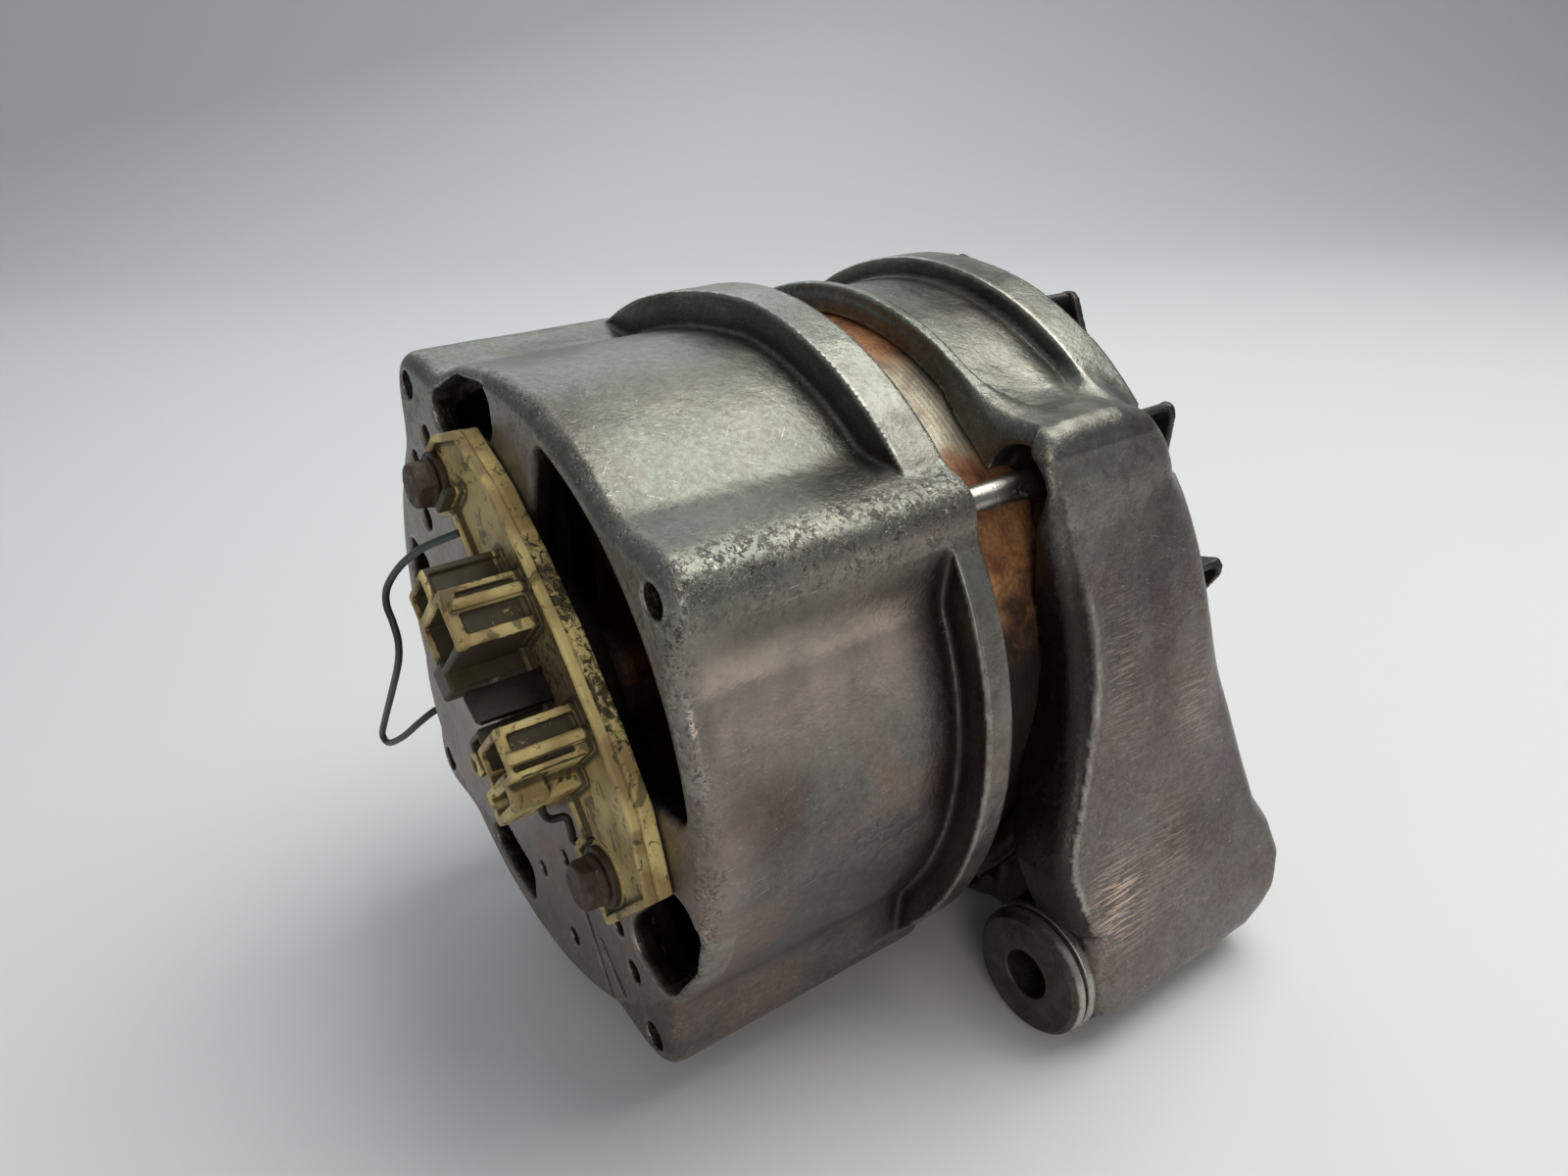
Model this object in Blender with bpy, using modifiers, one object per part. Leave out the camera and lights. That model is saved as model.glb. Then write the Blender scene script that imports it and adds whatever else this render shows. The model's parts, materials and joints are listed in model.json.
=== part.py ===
"""Claw-pole car alternator, standing as it rests on a flat surface, lying on its housing ribs and its pivot boss.

World frame: metres, +X along the shaft towards the pulley, +Z up. Local lengths below are in millimetres,
measured from the rear face of the rear housing (x = 0) and from the shaft axis (y = z = 0).
"""
import math

import bmesh
import bpy
from mathutils import Vector

MM = 0.001
# Where the shaft axis and the rear face stand in the world, millimetres.
ORIGIN_X, ORIGIN_Y, ORIGIN_Z = -69.1, 6.575, 69.4
GAP = 0.3

# Barrel and lobes
LOBES = (53.5, 143.5, 233.5, 323.5)
BARREL_R = 62.5
LOBE_R = 72.0
LOBE_HALF = 15.0
RIB_R = 69.4
BOLT_CIRCLE = 65.9
BOLT_R = 2.5
BOLT_HOLE_R = 2.8

# Rear housing
REAR_LEN = 58.0
REAR_WALL = 4.5
REAR_BORE = 57.8
REGISTER_R = 61.3
REGISTER_X = 52.0
RIB_X = 49.5
REAR_BOSS_R = 20.2
REAR_BOSS_X = -11.8

# Stator
CORE_R = 61.0
CORE_IN_R = 46.0
CORE_X0, CORE_X1 = 52.3, 80.2
SLOTS = 24

# Drive end housing
DE_X0, DE_X1 = 74.4, 108.0
DE_WALL_X0, DE_WALL_X1 = 99.0, 104.0
HUB_R = 31.0
PIVOT_Y, PIVOT_Z, PIVOT_R = -67.2, -56.2, 13.2
PIVOT_X0, PIVOT_X1 = 73.0, 124.0
PIVOT_BORE_R = 10.3

# Rotor
CLAW_R = 45.4
SHAFT_R = 8.5
JOURNAL_R = 5.85
RING_SEAT_R = 7.0
FAN_R = 67.8
BLADES = 13
FAN_PHASE = 110.7
PULLEY_R = 34.0

# Terminal block, in the (u, v) frame of the block: u runs along it, v points outwards from the shaft.
EU = (-0.668, -0.744)
EV = (-0.744, 0.668)
BLOCK_TOP_X = -3.9
SHROUD_X = -18.2
SCREW_UV = ((-41.0, 14.5), (36.4, 15.0))


for obj in list(bpy.data.objects):
    bpy.data.objects.remove(obj, do_unlink=True)
bpy.context.scene.unit_settings.scale_length = 1.0

PARTS = bpy.data.collections.new("car_alternator")
CUTS = bpy.data.collections.new("cutters")
bpy.context.scene.collection.children.link(PARTS)
bpy.context.scene.collection.children.link(CUTS)

MATERIALS = {}


def material(name, colour, roughness, metallic):
    mat = bpy.data.materials.new(name)
    mat.use_nodes = True
    shader = mat.node_tree.nodes["Principled BSDF"]
    shader.inputs["Base Color"].default_value = (*colour, 1.0)
    shader.inputs["Roughness"].default_value = roughness
    shader.inputs["Metallic"].default_value = metallic
    mat.diffuse_color = (*colour, 1.0)
    return mat


def get_material(key):
    """One material per sub-part, from a family of finishes."""
    family = {
        "alu": ((0.42, 0.41, 0.39), 0.45, 1.0),
        "alu_dark": ((0.36, 0.33, 0.31), 0.5, 1.0),
        "lamination": ((0.36, 0.17, 0.07), 0.7, 0.4),
        "copper": ((0.45, 0.17, 0.06), 0.4, 1.0),
        "enamel": ((0.30, 0.10, 0.05), 0.45, 0.2),
        "steel": ((0.50, 0.49, 0.47), 0.35, 1.0),
        "steel_dark": ((0.16, 0.15, 0.14), 0.5, 1.0),
        "rusty": ((0.20, 0.10, 0.05), 0.75, 0.5),
        "black_sheet": ((0.02, 0.02, 0.02), 0.5, 0.3),
        "plastic_cream": ((0.62, 0.54, 0.33), 0.55, 0.0),
        "plastic_dark": ((0.03, 0.03, 0.03), 0.5, 0.0),
        "carbon": ((0.05, 0.05, 0.055), 0.6, 0.2),
        "lead": ((0.02, 0.04, 0.03), 0.5, 0.0),
    }
    return family[key]


def finish(obj, name, key, helper=False):
    obj.name = name
    obj.data.name = name
    for coll in list(obj.users_collection):
        coll.objects.unlink(obj)
    if helper:
        CUTS.objects.link(obj)
        obj.hide_render = True
        obj.display_type = "WIRE"
    else:
        PARTS.objects.link(obj)
        obj.data.materials.clear()
        colour, rough, metal = get_material(key)
        obj.data.materials.append(material(name + "_mat", colour, rough, metal))
    return obj


def local(x, y, z):
    """A point given in millimetres from the rear face and the shaft, in metres, about this object's own origin on the shaft."""
    return Vector((x * MM, y * MM, z * MM))


def place(obj, x=0.0, y=0.0, z=0.0):
    obj.location = ((ORIGIN_X + x) * MM, (ORIGIN_Y + y) * MM, (ORIGIN_Z + z) * MM)
    return obj


def signed_area(points):
    total = 0.0
    for (x0, y0), (x1, y1) in zip(points, points[1:] + points[:1]):
        total += x0 * y1 - x1 * y0
    return total / 2


def turned(name, profile, steps, key, at=(0.0, 0.0, 0.0), helper=False, axis_end=False, direction=None):
    """A ring or solid of revolution about the X direction. profile holds (x, radius) in millimetres.
    A profile that starts and ends on the axis (radius 0) makes a solid."""
    mesh = bpy.data.meshes.new(name)
    pts = [(r, x) for x, r in profile]
    solid = abs(pts[0][0]) < 1e-9 and abs(pts[-1][0]) < 1e-9
    if signed_area(pts) > 0:
        pts.reverse()
    verts = [(r * MM, 0.0, x * MM) for r, x in pts]
    edges = [(i, i + 1) for i in range(len(verts) - 1)]
    if not solid:
        edges.append((len(verts) - 1, 0))
    mesh.from_pydata(verts, edges, [])
    obj = bpy.data.objects.new(name, mesh)
    finish(obj, name, key, helper)
    screw = obj.modifiers.new("turn", "SCREW")
    screw.axis = "Z"
    screw.angle = 2 * math.pi
    screw.steps = steps
    screw.render_steps = steps
    screw.use_merge_vertices = True
    screw.merge_threshold = 1e-6
    screw.use_smooth_shade = False
    obj.rotation_euler = (0.0, math.pi / 2, 0.0)
    if direction is not None:
        obj.rotation_euler = Vector(direction).to_track_quat("Z", "Y").to_euler()
    place(obj, *at)
    return obj


def mesh_object(name, bm, key, at=(0.0, 0.0, 0.0), helper=False):
    bmesh.ops.recalc_face_normals(bm, faces=bm.faces)
    mesh = bpy.data.meshes.new(name)
    bm.to_mesh(mesh)
    bm.free()
    obj = bpy.data.objects.new(name, mesh)
    finish(obj, name, key, helper)
    place(obj, *at)
    return obj


def add_prism(bm, outline, x0, x1, taper=None):
    """A closed prism along X over an outline of (y, z) in millimetres. taper gives the far outline."""
    far = taper or outline
    a = [bm.verts.new((x0 * MM, y * MM, z * MM)) for y, z in outline]
    b = [bm.verts.new((x1 * MM, y * MM, z * MM)) for y, z in far]
    n = len(a)
    bm.faces.new(a)
    bm.faces.new(list(reversed(b)))
    for i in range(n):
        bm.faces.new((a[i], b[i], b[(i + 1) % n], a[(i + 1) % n]))


def add_hull(bm, points):
    verts = [bm.verts.new((x * MM, y * MM, z * MM)) for x, y, z in points]
    made = bmesh.ops.convex_hull(bm, input=verts)
    drop = [g for g in made["geom_interior"] + made["geom_unused"] if isinstance(g, bmesh.types.BMVert)]
    if drop:
        bmesh.ops.delete(bm, geom=drop, context="VERTS")


def add_box(bm, x0, x1, y0, y1, z0, z1):
    add_prism(bm, [(y0, z0), (y1, z0), (y1, z1), (y0, z1)], x0, x1)


def circle(cy, cz, r, n, start=0.0):
    return [
        (cy + r * math.cos(math.radians(start + 360.0 * i / n)), cz + r * math.sin(math.radians(start + 360.0 * i / n)))
        for i in range(n)
    ]


def polar(r, deg):
    return (r * math.cos(math.radians(deg)), r * math.sin(math.radians(deg)))


def sector(r0, r1, a0, a1, n, corner=0.0):
    """The outline of a ring sector, angles in degrees, with a small chamfer at each corner."""
    da = math.degrees(corner / r1) if corner else 0.0
    db = math.degrees(corner / r0) if corner else 0.0
    pts = []
    if corner:
        pts.append(polar(r1 - corner, a0))
    for i in range(n + 1):
        pts.append(polar(r1, a0 + da + (a1 - a0 - 2 * da) * i / n))
    if corner:
        pts.append(polar(r1 - corner, a1))
        pts.append(polar(r0 + corner, a1))
    for i in range(n + 1):
        pts.append(polar(r0, a1 - db - (a1 - a0 - 2 * db) * i / n))
    if corner:
        pts.append(polar(r0 + corner, a0))
    return pts


def rounded(points, radius, n=3):
    """A polygon with its corners rounded."""
    out = []
    m = len(points)
    for i in range(m):
        p0, p, p1 = (Vector(points[i - 1]), Vector(points[i]), Vector(points[(i + 1) % m]))
        a = (p0 - p).normalized()
        b = (p1 - p).normalized()
        half = math.acos(max(-1.0, min(1.0, a.dot(b)))) / 2
        d = min(radius / math.tan(half), (p0 - p).length * 0.45, (p1 - p).length * 0.45)
        q0, q1 = p + a * d, p + b * d
        for k in range(n + 1):
            t = k / n
            q = q0 * (1 - t) ** 2 + p * 2 * t * (1 - t) + q1 * t * t
            out.append((q.x, q.y))
    return out


def lobe_outline(base, per=40, skip=(), tip=LOBE_R):
    """The outside of a housing: a circle that swells into a rounded lobe at each through bolt."""
    out = []
    angles = set(round(i * 360.0 / per, 4) for i in range(per))
    for lobe in LOBES:
        for d in (-15, -11.5, -8, -5, -2, 2, 5, 8, 11.5, 15):
            angles.add(round((lobe + d) % 360.0, 4))
    kept = []
    for a in sorted(angles):
        if kept and a - kept[-1] < 2.6:
            continue
        kept.append(a)
    for a in kept:
        r = base
        for lobe in LOBES:
            if lobe in skip:
                continue
            d = abs((a - lobe + 180.0) % 360.0 - 180.0)
            if d < LOBE_HALF:
                r = max(r, BARREL_R + (tip - BARREL_R) * math.cos(math.pi / 2 * d / LOBE_HALF) ** 2)
        out.append(polar(r, a))
    return out


def boolean(obj, other, operation):
    mod = obj.modifiers.new(operation.lower(), "BOOLEAN")
    mod.object = other
    mod.operation = operation
    mod.solver = "EXACT"
    return mod


def cut(obj, other):
    return boolean(obj, other, "DIFFERENCE")


def join(obj, other):
    return boolean(obj, other, "UNION")


def uv(u, v):
    return (u * EU[0] + v * EV[0], u * EU[1] + v * EV[1])


def uv_list(points):
    return [uv(u, v) for u, v in points]


# ---------------------------------------------------------------- rear housing
bm = bmesh.new()
add_prism(bm, lobe_outline(BARREL_R), 0.0, REAR_LEN)
rear = mesh_object("rear_housing", bm, "alu")

bm = bmesh.new()
add_prism(bm, lobe_outline(RIB_R), RIB_X, REAR_LEN + 0.0)
rear_flange = mesh_object("cut_rear_flange", bm, "alu", helper=True)
join(rear, rear_flange)
rear_boss = turned(
    "cut_rear_boss",
    [(REAR_BOSS_X, 0.0), (REAR_BOSS_X, 17.6), (-11.0, 19.4), (-9.4, REAR_BOSS_R), (2.0, REAR_BOSS_R), (2.0, 0.0)],
    48, "alu", helper=True,
)
join(rear, rear_boss)
rear_bore = turned(
    "cut_rear_bore",
    [(6.5, 0.0), (6.5, 20.2), (REAR_WALL, 20.2), (REAR_WALL, REAR_BORE), (REGISTER_X, REAR_BORE), (REGISTER_X, REGISTER_R),
     (REAR_LEN + 5, REGISTER_R), (REAR_LEN + 5, 0.0)],
    48, "alu", helper=True,
)
cut(rear, rear_bore)
rear_seat = turned(
    "cut_rear_seat", [(-9.0, 0.0), (-9.0, 16.3), (7.5, 16.3), (7.5, 0.0)], 48, "alu", helper=True
)
cut(rear, rear_seat)

bm = bmesh.new()
for lobe in LOBES:
    y, z = polar(BOLT_CIRCLE, lobe)
    add_prism(bm, circle(y, z, BOLT_HOLE_R, 12), -2.0, REAR_LEN + 4)
# vents: two rounded ones beside lobes, the wide arc past the terminal block and its opposite
add_prism(bm, rounded(sector(50.2, 59.2, 63.4, 91.2, 5), 3.0, 2), -2.0, REAR_WALL + 1)
add_prism(bm, rounded([polar(48.5, 222.5), polar(46.8, 214.0), polar(55.0, 195.5), polar(59.4, 196.5), polar(59.4, 206.0), polar(59.4, 215.0), polar(54.5, 224.0)], 2.5, 2), -2.0, REAR_WALL + 1)
add_prism(bm, sector(36.0, 57.5, 108.0, 178.0, 9, 2.0), -2.0, REAR_WALL + 1)
add_prism(bm, sector(45.5, 57.0, 281.0, 309.0, 5, 2.0), -2.0, REAR_WALL + 1)
add_prism(bm, sector(45.5, 57.0, 338.0, 18.0 + 360.0, 6, 2.0), -2.0, REAR_WALL + 1)
# narrow slots and small holes
for r0, r1, a, w in ((43.0, 58.5, 248.3, 1.5), (47.0, 56.8, 243.0, 1.5)):
    c, s = math.cos(math.radians(a)), math.sin(math.radians(a))
    add_prism(bm, [(r0 * c + w * s / 2, r0 * s - w * c / 2), (r1 * c + w * s / 2, r1 * s - w * c / 2),
                   (r1 * c - w * s / 2, r1 * s + w * c / 2), (r0 * c - w * s / 2, r0 * s + w * c / 2)], -2.0, REAR_WALL + 1)
for r, a, hole in ((51.7, 261.3, 1.9), (53.7, 231.5, 2.2), (32.7, 255.2, 1.7), (45.1, 229.0, 1.9), (41.5, 275.4, 1.7),
                   (54.8, 53.2, 2.4), (55.8, 41.6, 2.2), (47.4, 31.5, 2.4)):
    y, z = polar(r, a)
    add_prism(bm, circle(y, z, hole, 10), -2.0, REAR_WALL + 1)
# holes for the screws of the terminal block
for u, v in SCREW_UV:
    y, z = uv(u, v)
    add_prism(bm, circle(y, z, 2.3, 12), -2.0, REAR_WALL + 1)
rear_holes = mesh_object("cut_rear_holes", bm, "alu", helper=True)
cut(rear, rear_holes)

# ---------------------------------------------------------------- drive end housing
bm = bmesh.new()
add_prism(bm, lobe_outline(65.0), DE_X0, DE_WALL_X1)
drive = mesh_object("drive_end_housing", bm, "alu_dark")
bm = bmesh.new()
add_prism(bm, circle(0, 0, RIB_R, 60), 98.0, DE_X1)
de_rib = mesh_object("cut_de_rib", bm, "alu", helper=True)
join(drive, de_rib)

# the mounting arm: a slab from the lobe down to the pivot boss, sloping forwards
ARM_TOP = (-57.5, 48.0)
bm = bmesh.new()
arm_side = [(75.6, 49.0), (92.0, 50.0), (99.5, 47.5), (103.2, 39.0), (107.7, 20.5), (114.3, -2.6), (121.6, -25.7), (125.6, -40.0),
            (126.6, -47.0), (124.6, -55.0), (76.4, -55.0)]


def outer(z):
    """The outer face of the arm, leaning outwards as it goes down."""
    return -61.5 - (45.0 - z) * 0.2105


verts_out = [bm.verts.new((x * MM, outer(z) * MM, z * MM)) for x, z in arm_side]
verts_in = [bm.verts.new((x * MM, (outer(z) + 13.0) * MM, z * MM)) for x, z in arm_side]
bm.faces.new(verts_out)
bm.faces.new(list(reversed(verts_in)))
for i in range(len(arm_side)):
    j = (i + 1) % len(arm_side)
    bm.faces.new((verts_out[i], verts_in[i], verts_in[j], verts_out[j]))
arm = mesh_object("cut_arm", bm, "alu", helper=True)
join(drive, arm)
bm = bmesh.new()
add_prism(bm, circle(PIVOT_Y, PIVOT_Z, PIVOT_R, 32), PIVOT_X0, PIVOT_X1)
boss = mesh_object("cut_pivot_boss", bm, "alu", helper=True)
join(drive, boss)
# web between the ring and the pivot boss
bm = bmesh.new()
add_hull(bm, [(x, y, z) for x in (80.5, 106.0) for y, z in ((-39.0, -50.0), (-47.0, -43.0), (-66.0, -43.5), (-56.0, -63.0))])
web = mesh_object("cut_web", bm, "alu", helper=True)
join(drive, web)

de_bore = turned(
    "cut_de_bore",
    [(DE_X0 - 3, 0.0), (DE_X0 - 3, REGISTER_R), (80.5, REGISTER_R), (80.5, REAR_BORE), (DE_WALL_X0, REAR_BORE), (DE_WALL_X0, HUB_R),
     (90.2, HUB_R), (90.2, 23.8), (106.0, 23.8), (106.0, 14.0), (DE_X1 + 3, 14.0), (DE_X1 + 3, 0.0)],
    48, "alu", helper=True,
)
cut(drive, de_bore)
# running space for the fan inside the arm
fan_space = turned("cut_fan_space", [(DE_X1 + 0.3, 0.0), (DE_X1 + 0.3, 68.6), (135.0, 68.6), (135.0, 0.0)], 60, "alu", helper=True)
cut(drive, fan_space)
# the recess in front of the end wall, inside the outer rim
de_recess = turned(
    "cut_de_recess", [(DE_WALL_X1, 33.0), (DE_X1 + 3, 33.0), (DE_X1 + 3, 62.0), (DE_WALL_X1, 62.0)], 48, "alu", helper=True
)
cut(drive, de_recess)
bm = bmesh.new()
for i in range(6):
    a = 8.5 + 60.0 * i
    add_prism(bm, sector(39.0, 55.5, a + 5.0, a + 55.0, 4, 2.0), DE_WALL_X0 - 2, DE_WALL_X1 + 2)
for lobe in LOBES:
    y, z = polar(BOLT_CIRCLE, lobe)
    add_prism(bm, circle(y, z, BOLT_HOLE_R, 12), 60.0, 120.0)
for a in (30.0, 150.0, 270.0):
    y, z = polar(27.4, a)
    add_prism(bm, circle(y, z, 2.1, 10), 80.0, 98.0)
add_prism(bm, circle(PIVOT_Y, PIVOT_Z, PIVOT_BORE_R, 30), 60.0, 98.0)
add_prism(bm, circle(PIVOT_Y, PIVOT_Z, 5.3, 24), 97.0, 140.0)
de_holes = mesh_object("cut_de_holes", bm, "alu", helper=True)
cut(drive, de_holes)
# pockets around the bolts at the rear of this casting, and flats for the bolt heads in front
bm = bmesh.new()
for lobe in LOBES:
    y, z = polar(BOLT_CIRCLE + 1.0, lobe)
    add_prism(bm, circle(y, z, 7.6, 16), DE_X0 - 2, DE_X0 + 7.0)
    y, z = polar(BOLT_CIRCLE + 2.0, lobe)
    add_prism(bm, circle(y, z, 6.8, 16), 103.0, 112.0)
de_pockets = mesh_object("cut_de_pockets", bm, "alu", helper=True)
cut(drive, de_pockets)

# ---------------------------------------------------------------- stator
core = turned(
    "stator_core", [(CORE_X0, CORE_IN_R), (CORE_X0, CORE_R), (CORE_X1, CORE_R), (CORE_X1, CORE_IN_R)], 48, "lamination"
)
bm = bmesh.new()
for i in range(SLOTS):
    a = math.radians(360.0 * i / SLOTS)
    c, s = math.cos(a), math.sin(a)
    pts = []
    for r, w in ((CORE_IN_R - 2, 1.1), (47.6, 1.1), (48.2, 1.9), (56.0, 2.3), (56.0, -2.3), (48.2, -1.9), (47.6, -1.1), (CORE_IN_R - 2, -1.1)):
        pts.append((r * c - w * s, r * s + w * c))
    add_prism(bm, pts, CORE_X0 - 2, CORE_X1 + 2)
slots = mesh_object("cut_slots", bm, "alu", helper=True)
cut(core, slots)

winding = turned(
    "stator_winding",
    [(42.5, 49.5), (42.5, 54.0), (45.0, 56.4), (51.9, 55.4), (51.9, 48.4)], 48, "enamel"
)
bm = bmesh.new()
for i in range(SLOTS):
    a = math.radians(360.0 * i / SLOTS)
    c, s = math.cos(a), math.sin(a)
    pts = [(r * c - w * s, r * s + w * c) for r, w in ((48.9, 1.5), (55.4, 1.8), (55.4, -1.8), (48.9, -1.5))]
    add_prism(bm, pts, 50.5, 82.0)
bars = mesh_object("cut_winding_bars", bm, "alu", helper=True)
join(winding, bars)
front_turn = turned(
    "cut_winding_front",
    [(80.6, 48.4), (80.6, 55.4), (87.5, 56.4), (90.0, 54.0), (90.0, 49.5)], 48, "enamel", helper=True
)
join(winding, front_turn)

# ---------------------------------------------------------------- through bolts
for i, lobe in enumerate(LOBES):
    y, z = polar(BOLT_CIRCLE, lobe)
    shank = turned(
        f"through_bolt_{i + 1}", [(9.0, 0.0), (9.0, 2.0), (9.6, BOLT_R), (103.6, BOLT_R), (103.6, 0.0)], 16, "steel",
        at=(0, y, z),
    )
    bm = bmesh.new()
    add_prism(bm, circle(0, 0, 4.6, 6), 103.3, 107.0)
    head = mesh_object(f"cut_bolt_head_{i + 1}", bm, "steel", at=(0, y, z), helper=True)
    join(shank, head)

# ---------------------------------------------------------------- rotor
shaft = turned(
    "rotor_shaft",
    [(-8.6, 0.0), (-8.6, 5.2), (-8.0, JOURNAL_R), (3.4, JOURNAL_R), (3.4, RING_SEAT_R), (27.0, RING_SEAT_R), (27.0, SHAFT_R),
     (137.9, SHAFT_R), (137.9, 7.7), (155.4, 7.7), (156.4, 6.7), (156.4, 0.0)],
    32, "steel",
)
bm = bmesh.new()
add_box(bm, 124.0, 134.0, -2.15, 2.15, 6.5, 12.0)
keyway = mesh_object("cut_keyway", bm, "steel", helper=True)
cut(shaft, keyway)


def claw(name, x_disc0, x_disc1, x_tip, offset, x_core):
    """A pole half: a hub, a disc and six tapered fingers."""
    outline = []
    for i in range(6):
        for d, r in ((-16.0, CLAW_R), (-8.0, CLAW_R), (0.0, CLAW_R), (8.0, CLAW_R), (16.0, CLAW_R), (21.0, 33.0), (30.0, 31.0), (39.0, 33.0)):
            outline.append(polar(r, offset + 60.0 * i + d))
    bm = bmesh.new()
    add_prism(bm, outline, min(x_disc0, x_disc1), max(x_disc0, x_disc1))
    body = mesh_object(name, bm, "steel_dark")
    bm = bmesh.new()
    for i in range(6):
        a = offset + 60.0 * i
        near = [polar(r, a + d) for r, d in ((CLAW_R, -16), (CLAW_R, -8), (CLAW_R, 0), (CLAW_R, 8), (CLAW_R, 16), (36.5, 16), (36.5, 0), (36.5, -16))]
        far = [polar(r, a + d) for r, d in ((CLAW_R, -8), (CLAW_R, -4), (CLAW_R, 0), (CLAW_R, 4), (CLAW_R, 8), (41.5, 8), (41.5, 0), (41.5, -8))]
        add_prism(bm, near, (x_disc0 + x_disc1) / 2, x_tip, taper=far)
    fingers = mesh_object("cut_" + name + "_fingers", bm, "steel", helper=True)
    join(body, fingers)
    bm = bmesh.new()
    middle = (x_disc0 + x_disc1) / 2
    add_prism(bm, circle(0, 0, 17.4, 32), min(middle, x_core), max(middle, x_core))
    hub = mesh_object("cut_" + name + "_hub", bm, "steel", helper=True)
    join(body, hub)
    bore = turned("cut_" + name + "_bore", [(30.0, 0.0), (30.0, SHAFT_R + GAP), (100.0, SHAFT_R + GAP), (100.0, 0.0)], 32, "steel", helper=True)
    cut(body, bore)
    return body


claw("rear_claw_pole", 46.5, 55.5, 84.0, 0.0, 66.1)
claw("front_claw_pole", 86.0, 77.0, 48.5, 30.0, 66.4)

turned("field_coil", [(56.0, 17.8), (56.0, 34.5), (57.5, 35.8), (75.0, 35.8), (76.5, 34.5), (76.5, 17.8)], 36, "copper")
turned("slip_ring_hub", [(6.0, 7.4), (6.0, 11.0), (26.0, 11.0), (26.0, 7.4)], 32, "plastic_dark")
turned("slip_ring_1", [(8.0, 11.3), (8.0, 14.2), (13.6, 14.2), (13.6, 11.3)], 32, "copper")
turned("slip_ring_2", [(17.0, 11.3), (17.0, 14.2), (22.6, 14.2), (22.6, 11.3)], 32, "copper")


def bearing(name, bore, inner, outer_in, outer, x0, x1):
    """Sealed ball bearing: inner race, and outer race with its shields."""
    turned(name + "_inner_race", [(x0, bore), (x0, inner), (x1, inner), (x1, bore)], 32, "steel")
    turned(
        name + "_outer_race",
        [(x0, inner + 0.4), (x0, outer), (x1, outer), (x1, inner + 0.4), (x1 - 1.0, inner + 0.4), (x1 - 1.0, outer_in),
         (x0 + 1.0, outer_in), (x0 + 1.0, inner + 0.4)],
        32, "steel",
    )


bearing("rear_bearing", 6.15, 9.2, 13.0, 16.0, -8.4, 1.6)
bearing("front_bearing", 8.8, 12.6, 19.4, 23.5, 91.7, 105.7)

retainer = turned("bearing_retainer", [(87.6, 15.0), (87.6, 30.5), (89.9, 30.5), (89.9, 15.0)], 32, "steel_dark")
bm = bmesh.new()
for a in (30.0, 150.0, 270.0):
    y, z = polar(27.4, a)
    add_prism(bm, circle(y, z, 2.1, 10), 80.0, 98.0)
retainer_holes = mesh_object("cut_retainer_holes", bm, "steel", helper=True)
cut(retainer, retainer_holes)
for i, a in enumerate((30.0, 150.0, 270.0)):
    y, z = polar(27.4, a)
    turned(
        f"retainer_screw_{i + 1}",
        [(86.6, 0.0), (86.6, 2.6), (86.9, 3.3), (87.3, 3.3), (87.3, 1.8), (96.0, 1.8), (96.6, 1.3), (96.6, 0.0)], 12, "steel", at=(0, y, z)
    )

turned("shaft_spacer", [(105.9, 8.8), (105.9, 12.3), (116.4, 12.3), (116.4, 8.8)], 32, "steel")

# fan: a pressed disc with blades bent back towards the housing
fan = turned("fan", [(116.7, 8.8), (116.7, 52.0), (118.7, 52.0), (118.7, 8.8)], 42, "black_sheet")
bm = bmesh.new()
for i in range(BLADES):
    a = FAN_PHASE + 360.0 / BLADES * i
    c, s = math.cos(math.radians(a)), math.sin(math.radians(a))
    # the flat part of the petal, in the plane of the disc
    petal = [(48.0, -0.8), (FAN_R - 1.5, -0.8), (FAN_R, 0.8), (FAN_R - 0.6, 6.5), (FAN_R - 3.5, 9.0), (48.0, 9.5)]
    add_prism(bm, [(r * c - t * s, r * s + t * c) for r, t in petal], 116.7, 118.3)
petals = mesh_object("cut_fan_petals", bm, "steel", helper=True)
join(fan, petals)
bm = bmesh.new()
for i in range(BLADES):
    a = FAN_PHASE + 360.0 / BLADES * i
    c, s = math.cos(math.radians(a)), math.sin(math.radians(a))
    # the blade itself, bent back from one edge of the petal
    blade = [(45.0, -1.0), (FAN_R - 0.8, -1.0), (FAN_R - 0.8, 0.6), (45.0, 0.6)]
    add_prism(bm, [(r * c - t * s, r * s + t * c) for r, t in blade], 109.4, 117.6)
blades = mesh_object("cut_fan_blades", bm, "steel", helper=True)
join(fan, blades)

pulley = turned(
    "pulley",
    [(119.0, 8.8), (119.0, 14.0), (120.6, 15.5), (121.0, PULLEY_R), (122.4, PULLEY_R), (127.6, 24.6), (130.4, 24.6), (135.6, PULLEY_R),
     (137.0, PULLEY_R), (137.4, 20.0), (133.0, 18.5), (133.0, 15.0), (137.8, 14.2), (137.8, 8.8)],
    40, "steel",
)
bm = bmesh.new()
add_box(bm, 117.0, 140.0, -2.35, 2.35, 6.5, 10.6)
pulley_key = mesh_object("cut_pulley_keyway", bm, "steel", helper=True)
cut(pulley, pulley_key)
bm = bmesh.new()
add_box(bm, 124.4, 133.6, -1.85, 1.85, 6.8, 10.2)
mesh_object("pulley_key", bm, "steel")
turned("pulley_washer", [(138.1, 8.0), (138.1, 13.2), (140.1, 13.2), (140.1, 8.0)], 32, "steel")
bm = bmesh.new()
add_prism(bm, circle(0, 0, 13.2, 6), 140.4, 152.4)
nut = mesh_object("pulley_nut", bm, "steel")
nut_bore = turned("cut_nut_bore", [(139.0, 0.0), (139.0, 8.0), (154.0, 8.0), (154.0, 0.0)], 32, "steel", helper=True)
cut(nut, nut_bore)

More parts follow.
